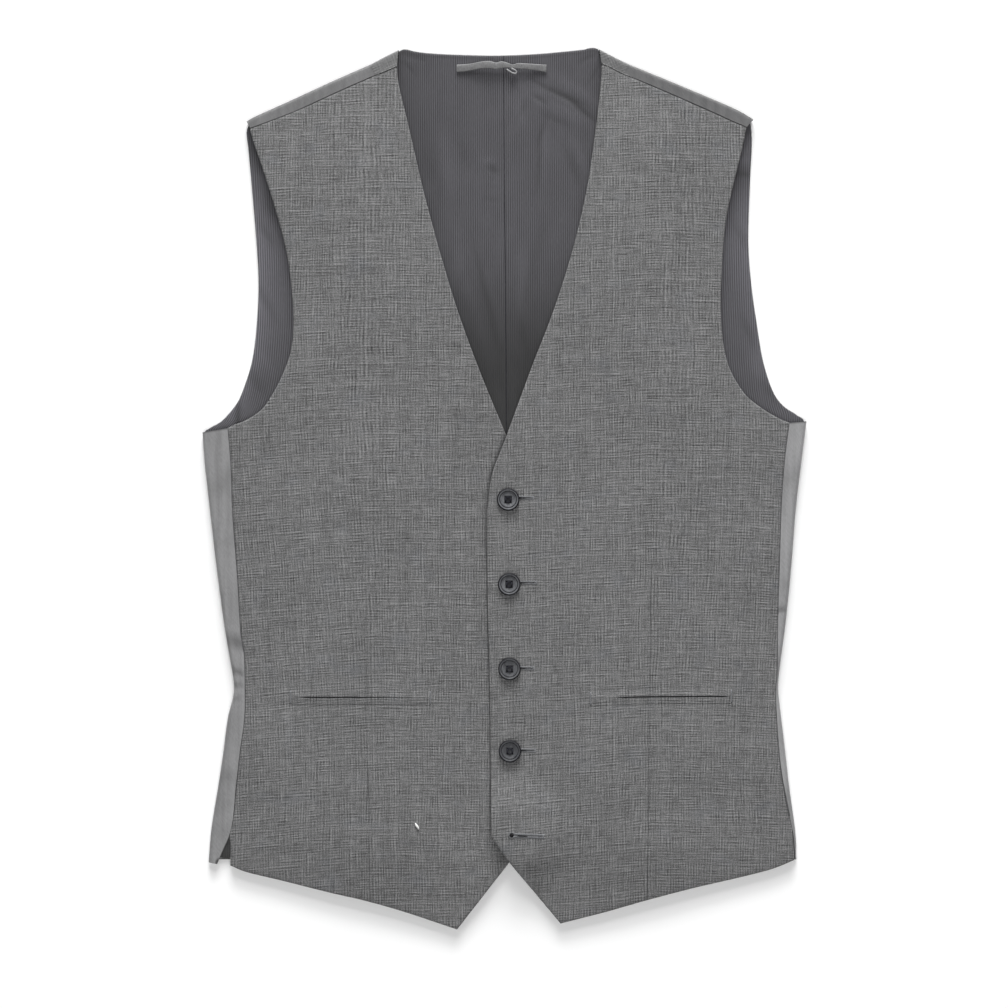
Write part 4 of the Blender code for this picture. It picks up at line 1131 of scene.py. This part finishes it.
def right_grain(x, y):
    lean = slope_of(3.6) * 150.0 * ease((y + 250.0) / 330.0)
    rise = slope_of(2.4) * (np.minimum(x, 110.0) + 12.0)
    low = ease((-120.0 - y) / 120.0) + 1.0
    side = np.maximum(x - 120.0, 0.0)
    return x - lean * ease((x - 100.0) / 60.0) + 5.0, y - rise * low + side ** 2 / (side + 40.0) * 0.03


def lap_shade(x, y):
    """Shade on the under front along the edge of the lap, wider at the top button and the cutaway."""
    edge = x_at(RIGHT_EDGE_LINE, y)
    slope = x_at(RIGHT_EDGE_LINE, y + 1.0) - edge
    away = np.maximum(edge - x, 0.0) / np.hypot(1.0, slope)
    at_top = np.exp(-((y + 24.0) / 27.0) ** 4)
    at_foot = ease((-225.0 - y) / 40.0)
    slanted = ease((y + 10.0) / 14.0)
    width = 0.75 + 2.3 * at_top * (1.0 - slanted) + 1.7 * slanted + 0.5 * at_foot
    strength = 0.85 - 0.30 * at_top * (1.0 - slanted) - 0.50 * at_foot
    return strength * np.exp(-(away / width) ** 2) * ease((47.0 - y) / 5.0)


give_grain(under_front, *left_grain(*plan_of(under_front)))
give_grain(over_front, *right_grain(*plan_of(over_front)))
# Painted shade on the rims of both fronts that turn towards the neck, and on the under front beside the lap.
give_painted_shade(under_front, np.maximum(shade_towards_lamps(under_front, 0.40), lap_shade(*plan_of(under_front))))
give_painted_shade(over_front, shade_towards_lamps(over_front, 0.40))

# Both fronts are joined to the back by pressed-open seams. A bead sunk in each fills the gap; its dark colour
# is painted shade, which shows as a soft line, and beside the neck band the bead is of the wool and does not
# show, where the cloth has been shrunk into the seam.
SEAM_LIGHT = (0.120, 0.120, 0.122)
SEAM_SHADE = (0.060, 0.060, 0.062)
# Depth below the cloth and radius of the bead that stands for each seam.
SIDE_BEAD = (0.75, 0.42)
SHOULDER_BEAD = (1.05, 0.40)
BAND_BEAD_RADIUS = 0.46
BAND_FROM_X = 98.0

seam_shade_bead = plain_finish(
    "seam_bead_shade", (1.2, 3.0, 1.2), 2.0, 1.6, SEAM_SHADE, SEAM_LIGHT, Roughness=0.9, Specular_IOR_Level=0.1,
)
side_beads = []
shoulder_beads = []
band_beads = []
for table, sign in ((LEFT_SIDE, 1.0), (RIGHT_SIDE, -1.0)):
    line = curve(table[2:, 2:], even(240)) + (sign * SEAM_GAP / 2, 0.0)
    side_beads.append((on(body_height, line, -SIDE_BEAD[0]), SIDE_BEAD[1]))
for table in (LEFT_SHOULDER, RIGHT_SHOULDER):
    line = curve(table[:, 2:], even(160)) - (0.0, SEAM_GAP / 2)
    away = np.abs(line[:, 0])
    outer = line[away > BAND_FROM_X - 1.0]
    shoulder_beads.append((on(body_height, outer, -SHOULDER_BEAD[0]), SHOULDER_BEAD[1]))
    sunk = 0.22 + 0.54 * ease((away - BAND_FROM_X + 6.0) / 6.0)
    near = away < BAND_FROM_X + 1.0
    band_beads.append((on(body_height, line[near], -sunk[near]), BAND_BEAD_RADIUS))
for name, beads, finish in (
    ("side_seams", side_beads, seam_shade_bead),
    ("shoulder_seams", shoulder_beads, seam_shade_bead),
    ("band_seams", band_beads, wool),
):
    seams = threads(name, finish, beads, 8)
    give_grain(seams, *plan_of(seams))
    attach(seams, "root")

# ----------------------------------------------------------------------------------------------
# POCKETS. A jetted pocket on each front: an upper and a lower jet of the same wool, pressed flat
# and meeting at the slit, which stands a little open along its middle. A bar of thread holds
# each end.
# ----------------------------------------------------------------------------------------------
JET_WIDTH = 5.2
JET_THICKNESS = 0.18
JET_ROLL = 0.15
JET_COLUMNS = 160
JET_ROWS = 10
JET_LIFT = 0.02
JET_SWELL = 0.26
# Half the gap between the jets where they meet, and what it grows by where the slit stands open.
JET_GAP = 0.05
JET_PARTED = 0.42
MOUTH_RADIUS = 0.03
MOUTH_PARTED = 0.46
MOUTH_LIFT = 0.08
BAR_HALF = 4.9
BAR_POINTS = 13
BAR_THREADS = (0.15, 0.45, 0.75)
BAR_RADIUS = 0.17
BAR_LIFT = 0.62
BAR_END_DROP = 0.40
POCKETS = (
    # name, slit line from end to end, shares of it where it starts to open and how fast, and where it
    # is closed again and how fast, height and grain of the front
    (
        "left", ((-160.5, -155.9), (-108.0, -155.9), (-55.0, -156.4)), 0.05, 0.07, 0.98, 0.60,
        under_height, left_grain,
    ),
    (
        "right", ((64.0, -157.0), (109.5, -155.5), (170.3, -155.2)), 0.14, 0.12, 1.00, 0.07,
        over_height, right_grain,
    ),
)

# Near-black beads in the pocket slits and the buttonhole cuts: painted shade inside each opening.
opening_shade = plain_finish(
    "pocket_opening_shade", (0.5, 0.5, 0.5), 2.0, 1.0, (0.008, 0.008, 0.009), (0.024, 0.024, 0.025),
    Roughness=0.9, Specular_IOR_Level=0.0,
)
silk = plain_finish(
    "sewing_silk", (0.25, 0.8, 0.25), 1.0, 1.4, (0.125, 0.128, 0.136), (0.178, 0.182, 0.192), 0.05,
    Roughness=0.5,
)

for pocket, slit_points, opens, opening, closes, closing, front_height, front_grain in POCKETS:
    share = even(JET_COLUMNS)
    slit = curve(slit_points, share)
    parted = ease((share - opens) / opening) * ease((closes - share) / closing)

    def jet_height(x, y):
        out = np.abs(y - y_at(slit, x)) / JET_WIDTH
        return front_height(x, y) + JET_THICKNESS + JET_LIFT + JET_SWELL * (1.0 - ease(out))

    for which, sign in (("upper", 1.0), ("lower", -1.0)):
        near = slit + np.stack([0.0 * share, sign * (JET_GAP + JET_PARTED * parted)], axis=1)
        far = slit + (0.0, sign * JET_WIDTH)
        low_edge, high_edge = (near, far) if sign > 0 else (far, near)
        jet = laid_cloth(
            "wool_jet_%s_%s" % (pocket, which), wool, straight_ends(low_edge, high_edge, JET_ROWS),
            share, even(JET_ROWS), jet_height, JET_THICKNESS, JET_ROLL,
        )
        give_grain(jet, *front_grain(*plan_of(jet)))
        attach(jet, "root")
        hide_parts("jet_%s_%s" % (pocket, which))
    bead = (on(front_height, slit, MOUTH_LIFT), MOUTH_RADIUS + MOUTH_PARTED * parted)
    dark = threads("pocket_mouth_shade_" + pocket, opening_shade, [bead], 8)
    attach(dark, "root")
    bars = []
    for end, inward in ((slit[0], 1.0), (slit[-1], -1.0)):
        for aside in BAR_THREADS:
            reach = np.linspace(-BAR_HALF, BAR_HALF, BAR_POINTS)
            flat = end + np.stack([np.full(BAR_POINTS, inward * aside), reach], axis=1)
            line = on(front_height, flat, BAR_LIFT)
            line[[0, -1], 2] -= BAR_END_DROP
            bars.append((line, BAR_RADIUS))
    tacks = threads("pocket_tacks_" + pocket, silk, bars)
    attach(tacks, "root")

# ----------------------------------------------------------------------------------------------
# BUTTONS. Five of dark blue-grey imitation horn, turned with a rounded rim, a groove inside it
# and a shallow dish with four holes. Each is sewn on with dark thread in a square.
# ----------------------------------------------------------------------------------------------
BUTTON_STEPS = 72
BUTTON_CLEARANCE = 0.15
BUTTON_FLAT_RADIUS = 6.4
HOLE_STEPS = 20
HOLE_OFFSET = 1.8
HOLE_RADIUS = 0.85
DRILL_LENGTH = 10.0
GROOVE_RADIUS = 6.3
RIM_FROM = 7.2
DISH_RADIUS = 5.5
BUTTON_PROFILE = (
    # radius, height
    (0.0, 0.0), (5.8, 0.0), (7.1, 0.25), (8.0, 0.80), (8.42, 1.45), (8.40, 2.00), (8.05, 2.42),
    (7.45, 2.60), (6.95, 2.52), (6.62, 2.26), (6.44, 1.86), (6.28, 1.74), (6.10, 1.86), (5.85, 2.12),
    (5.35, 2.14), (4.4, 1.88), (3.4, 1.74), (0.0, 1.66),
)
# How dark each button is, and the painted shade of the square between its holes.
BUTTON_SHADES = (0.06, 0.14, 0.36, 0.46, 0.30)
WELL_SHADES = (0.90, 0.86, 0.74, 0.66, 0.94)
WELL_HALF = 2.9
HORN_COLOR = (0.150, 0.154, 0.162)
HORN_DEEP = (0.072, 0.074, 0.082)
HORN_VEIN = (0.230, 0.234, 0.243)
HORN_SHADOW_COLOR = (0.008, 0.008, 0.010)

horn = Finish("button_horn", Roughness=0.6, Specular_IOR_Level=0.12)
horn_place = horn.place()
horn_cloud = horn.noise(horn_place, (3.2, 6.5, 4.0), 4.0, 0.6)
horn_vein = (horn.noise(horn_place, (1.4, 9.0, 3.0), 3.0, 0.6) - 0.05).at_least(0.0) * 3.0
horn_color = horn.blend(horn_vein, horn.blend(horn_cloud * 2.2 + 0.55, HORN_DEEP, HORN_COLOR), HORN_VEIN)
# Painted shade: each point's stored share darkens the horn.
horn.paint(horn.stored("painted_shade"), horn_color, HORN_SHADOW_COLOR)
horn.bump(horn.noise(horn_place, (0.6, 0.6, 0.6)), 0.03)


def turned_button(name, x, y, height):
    profile = curve(BUTTON_PROFILE, even(72))
    profile[0, 0] = profile[-1, 0] = 0.0
    body = profile[1:-1]
    angle = np.arange(BUTTON_STEPS) * 2 * math.pi / BUTTON_STEPS
    rings = np.stack([
        body[:, :1] * np.cos(angle), body[:, :1] * np.sin(angle),
        np.broadcast_to(body[:, 1:], (len(body), BUTTON_STEPS)),
    ], axis=2)
    number = np.arange(len(body) * BUTTON_STEPS).reshape(-1, BUTTON_STEPS)
    after = np.roll(number, -1, axis=1)
    faces = np.stack([number[:-1], after[:-1], after[1:], number[1:]], -1).reshape(-1, 4).tolist()
    faces += [[number.size, after[0, k], number[0, k]] for k in range(BUTTON_STEPS)]
    faces += [[number.size + 1, number[-1, k], after[-1, k]] for k in range(BUTTON_STEPS)]
    points = np.vstack([rings.reshape(-1, 3), [0, 0, profile[0, 1]], [0, 0, profile[-1, 1]]])
    made = smooth_mesh(name, points + [x, y, height], faces)
    drills = []
    for over, up in ((-1, -1), (1, -1), (1, 1), (-1, 1)):
        place = ((x + over * HOLE_OFFSET) * MM, (y + up * HOLE_OFFSET) * MM, height * MM)
        bpy.ops.mesh.primitive_cylinder_add(
            vertices=HOLE_STEPS, radius=HOLE_RADIUS * MM, depth=DRILL_LENGTH * MM, location=place,
        )
        drills.append(bpy.context.object)
        hole = made.modifiers.new("hole", "BOOLEAN")
        hole.operation = "DIFFERENCE"
        hole.solver = "EXACT"
        hole.object = drills[-1]
    bpy.context.view_layer.update()
    drilled = bake_modifiers(made)
    for drill in drills:
        bpy.data.objects.remove(drill, do_unlink=True)
    drilled.polygons.foreach_set("use_smooth", np.ones(len(drilled.polygons), bool))
    drilled.set_sharp_from_angle(angle=SHARP_FROM)
    return made


def highest(surface, x, y):
    """Highest point of a cloth surface under a button's flat."""
    angle = np.arange(17) * math.pi / 8
    reach = np.append(np.full(16, BUTTON_FLAT_RADIUS), 0.0)
    return float(surface(x + reach * np.cos(angle), y + reach * np.sin(angle)).max())


sewing = plain_finish(
    "sewing_thread", (0.3, 0.3, 0.3), 1.0, 1.5, (0.010, 0.010, 0.013), (0.034, 0.035, 0.042), 0.05,
    Roughness=0.6, Specular_IOR_Level=0.0,
)
STITCH_ROWS = (-0.28, 0.0, 0.28)
STITCH_RADIUS = 0.24
STITCH_START = 0.7
STITCH_ARCH = 1.40
SEWN_SQUARE = (((-1, -1), (-1, 1)), ((1, -1), (1, 1)), ((-1, -1), (1, -1)), ((-1, 1), (1, 1)))

for number, (button_x, button_y) in enumerate(BUTTONS + (HIDDEN_BUTTON,), 1):
    below = over_height if number <= len(BUTTONS) else under_height
    height = highest(below, button_x, button_y) + BUTTON_CLEARANCE
    button = turned_button("horn_button_%d" % number, button_x, button_y, height)
    x, y = plan_of(button)
    x = x - button_x
    y = y - button_y
    reach = np.hypot(x, y)
    # Painted shade on each button: in the groove, round the outer edge, in a crescent at the top of the dish
    # and over the square between the holes; each is also darkened all over by its own share.
    groove = 0.88 * np.exp(-((reach - GROOVE_RADIUS) / 0.30) ** 2)
    outline = 0.97 * ease((reach - RIM_FROM) / 0.45)
    crescent = 0.60 * np.exp(-((reach - DISH_RADIUS) / 0.7) ** 2) * ease(1.4 * y / np.maximum(reach, 1.0))
    well = WELL_SHADES[number - 1] * (np.maximum(abs(x), abs(y)) < WELL_HALF)
    all_over = np.full(len(x), BUTTON_SHADES[number - 1])
    give_painted_shade(button, np.maximum.reduce([groove, outline, well, crescent, all_over]))
    horn.wear(button)
    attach(button, "root")
    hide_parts("button_%d" % number)
    stitches = []
    for start, end in SEWN_SQUARE:
        a = np.array([*start, 0.0]) * HOLE_OFFSET
        way = np.array([*end, 0.0]) * HOLE_OFFSET - a
        for shift in STITCH_ROWS:
            aside = np.cross(unit(way), [0, 0, 1]) * shift
            line = np.array([button_x, button_y, height]) + aside + a + way * even(12)[:, None]
            line[:, 2] += STITCH_START + STITCH_ARCH * np.sin(math.pi * even(12)) ** 0.35
            stitches.append((line, STITCH_RADIUS))
    thread = threads("button_thread_%d" % number, sewing, stitches)
    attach(thread, "root")

# ----------------------------------------------------------------------------------------------
# BUTTONHOLES. Five keyhole buttonholes in the lapping front, cut and worked over with grey silk:
# purl stitches along both lips, round the eye, and a bar across the end. The buttons hide the
# eyes of four of them; the fifth is undone.
# ----------------------------------------------------------------------------------------------
BUTTONHOLES = (
    # eye_x, eye_y, end_x, end_y, eye shows
    (5.0, -6.4, 22.0, -6.9, False),
    (5.5, -70.1, 24.3, -70.2, False),
    (6.0, -134.0, 22.5, -134.2, False),
    (6.0, -195.4, 23.6, -195.8, False),
    (5.3, -258.8, 29.6, -259.8, True),
)
PURL_PITCH = 0.42
PURL_RADIUS = 0.19
PURL_RISE = np.array([0.02, 0.12, 0.08, -0.16])
# Width of a lip, share of it that the cut leaves bare, and height: the undone one, the others.
UNDONE_LIP = (1.8, 0.10, 1.0)
BUTTONED_LIP = (1.45, 0.24, 0.4)
END_BARS = (0.20, 0.55, 0.90)
END_BAR_HALF = 1.05
EYE_RADIUS = 1.6
EYE_RISE = np.array([0.10, 0.32, 0.26, -0.10])
# Half the gap in the undone eye, and the radius of the dark round body that lies in it as painted shade of
# the hole.
EYE_GAP = 1.75
EYE_DARK_RADIUS = 2.1

for number, (eye_x, eye_y, end_x, end_y, eye_shows) in enumerate(BUTTONHOLES, 1):
    eye = np.array([eye_x, eye_y])
    end = np.array([end_x, end_y])
    way = unit(end - eye)
    side = np.array([-way[1], way[0]])
    first = eye + way * EYE_RADIUS
    lip_width, lip_from, lift = UNDONE_LIP if eye_shows else BUTTONED_LIP
    lip_reach = np.array([lip_from, 0.40, 0.70, 1.0])[:, None] * lip_width
    purls = []
    for k in range(int(np.linalg.norm(end - first) / PURL_PITCH)):
        at = first + way * (k + 0.5) * PURL_PITCH
        for lip in (-1.0, 1.0):
            purls.append((on(over_height, at + side * lip * lip_reach, PURL_RISE * lift), PURL_RADIUS))
    for back in END_BARS:
        flat = end - way * back + side * np.linspace(-END_BAR_HALF, END_BAR_HALF, 6)[:, None] * lip_width
        line = on(over_height, flat, 0.14 * lift)
        line[[0, -1], 2] -= 0.30
        purls.append((line, PURL_RADIUS))
    if eye_shows:
        for angle in np.arange(0.5, 2 * math.pi - 0.5, 0.36):
            spoke = way * math.cos(angle) - side * math.sin(angle)
            flat = eye + spoke * np.linspace(EYE_RADIUS, EYE_RADIUS + lip_width * 0.6, 4)[:, None]
            purls.append((on(over_height, flat, EYE_RISE), PURL_RADIUS))
    worked = threads("buttonhole_%d" % number, silk, purls)
    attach(worked, "root")
    # Painted shade in each cut: a near-black bead along it, wider where it parts, and in the undone eye a
    # dark round body.
    share = even(24)
    flat = eye + (end - eye) * share[:, None] * 0.90
    if eye_shows:
        parted = 0.42 * ease((share - 0.16) / 0.10) * (1.0 - ease((share - 0.42) / 0.20))
    else:
        from_button = flat[:, 0] - 11.4
        parted = 0.08 + 0.42 * np.exp(-(np.maximum(from_button, 0.0) / 1.2) ** 2)
        parted = parted + 0.24 * (1.0 - ease((from_button - 1.0) / 6.0))
    cut_shades = [(on(over_height, flat, 0.10), parted + 0.04)]
    if eye_shows:
        from_eye = np.linspace(-EYE_GAP, EYE_GAP, 9)
        flat = eye + np.stack([from_eye, np.zeros(9)], axis=1)
        cut_shades.append((on(over_height, flat, -1.35), np.sqrt(EYE_DARK_RADIUS ** 2 - from_eye ** 2)))
    cut = threads("buttonhole_cut_%d" % number, opening_shade, cut_shades, 12)
    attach(cut, "root")

# ----------------------------------------------------------------------------------------------
# THREAD END. A short end of white basting thread, caught in the cloth of the left front above
# the hem. It lies loose on the wool.
# ----------------------------------------------------------------------------------------------
THREAD_END = ((-66.8, -250.0), (-65.9, -251.6), (-64.8, -253.2), (-64.0, -254.6))
white = plain_finish(
    "white_thread", (0.5, 1.0, 0.5), 2.0, 1.0, (0.55, 0.55, 0.54), (0.80, 0.80, 0.79), Roughness=0.8,
)
end_line = on(under_height, curve(THREAD_END, even(16)), 0.55)
end_width = 0.25 + 0.65 * np.sin(math.pi * even(16)) ** 0.7
thread_end = threads("white_thread_end", white, [(end_line, end_width)], 8)
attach(thread_end, "root")

# ----------------------------------------------------------------------------------------------
# TABLE, LIGHT AND CAMERA. The waistcoat lies on a white table under a large soft light, with a
# low lamp beyond the neck that throws its shadow towards the hem. The camera looks straight down.
# ----------------------------------------------------------------------------------------------
VIEW_CENTRE = (-0.375 * MM, -11.25 * MM)
VIEW_WIDTH = 757.0 * MM
CAMERA_HEIGHT = 2.1
SENSOR_WIDTH = 36.0
LIGHTS = (
    # name, place in metres, width, height, watts
    ("light_above", (0.0, -1.0, 2.4), 2.2, 1.8, 36.5),
    ("light_beyond_neck_high", (0.0, 4.5, 2.05), 2.6, 1.30, 166.0),
    ("light_beyond_neck_low", (0.0, 4.5, 1.00), 2.8, 0.75, 345.0),
    ("light_left", (-2.0, 0.0, 1.3), 1.0, 1.0, 4.0),
    ("light_right", (2.0, 0.0, 1.3), 1.0, 1.0, 4.0),
)
ROOM_LIGHT = 0.092

bpy.ops.mesh.primitive_plane_add(size=8.0, location=(0.0, 0.0, -0.05 * MM))
table = bpy.context.object
table.name = "table"
paper = plain_finish(
    "table_white", (40.0, 40.0, 40.0), 2.0, 1.0, (0.925, 0.925, 0.925), (0.935, 0.935, 0.935),
    Roughness=0.9, Specular_IOR_Level=0.0,
)
paper.wear(table)

for name, place, width, height, power in LIGHTS:
    data = bpy.data.lights.new(name, "AREA")
    data.shape = "RECTANGLE"
    data.size = width
    data.size_y = height
    data.energy = power
    lamp = bpy.data.objects.new(name, data)
    bpy.context.scene.collection.objects.link(lamp)
    lamp.location = place
    lamp.rotation_euler = (Vector() - Vector(place)).to_track_quat("-Z", "Y").to_euler()
world = bpy.data.worlds.new("studio")
world.use_nodes = True
world.node_tree.nodes["Background"].inputs["Color"].default_value = (1.0, 1.0, 1.0, 1.0)
world.node_tree.nodes["Background"].inputs["Strength"].default_value = ROOM_LIGHT
bpy.context.scene.world = world
bpy.context.scene.view_settings.view_transform = "Standard"

camera_data = bpy.data.cameras.new("camera")
camera_data.sensor_width = SENSOR_WIDTH
camera_data.lens = SENSOR_WIDTH * CAMERA_HEIGHT / VIEW_WIDTH
camera = bpy.data.objects.new("camera", camera_data)
bpy.context.scene.collection.objects.link(camera)
camera.location = (*VIEW_CENTRE, CAMERA_HEIGHT)
bpy.context.scene.camera = camera
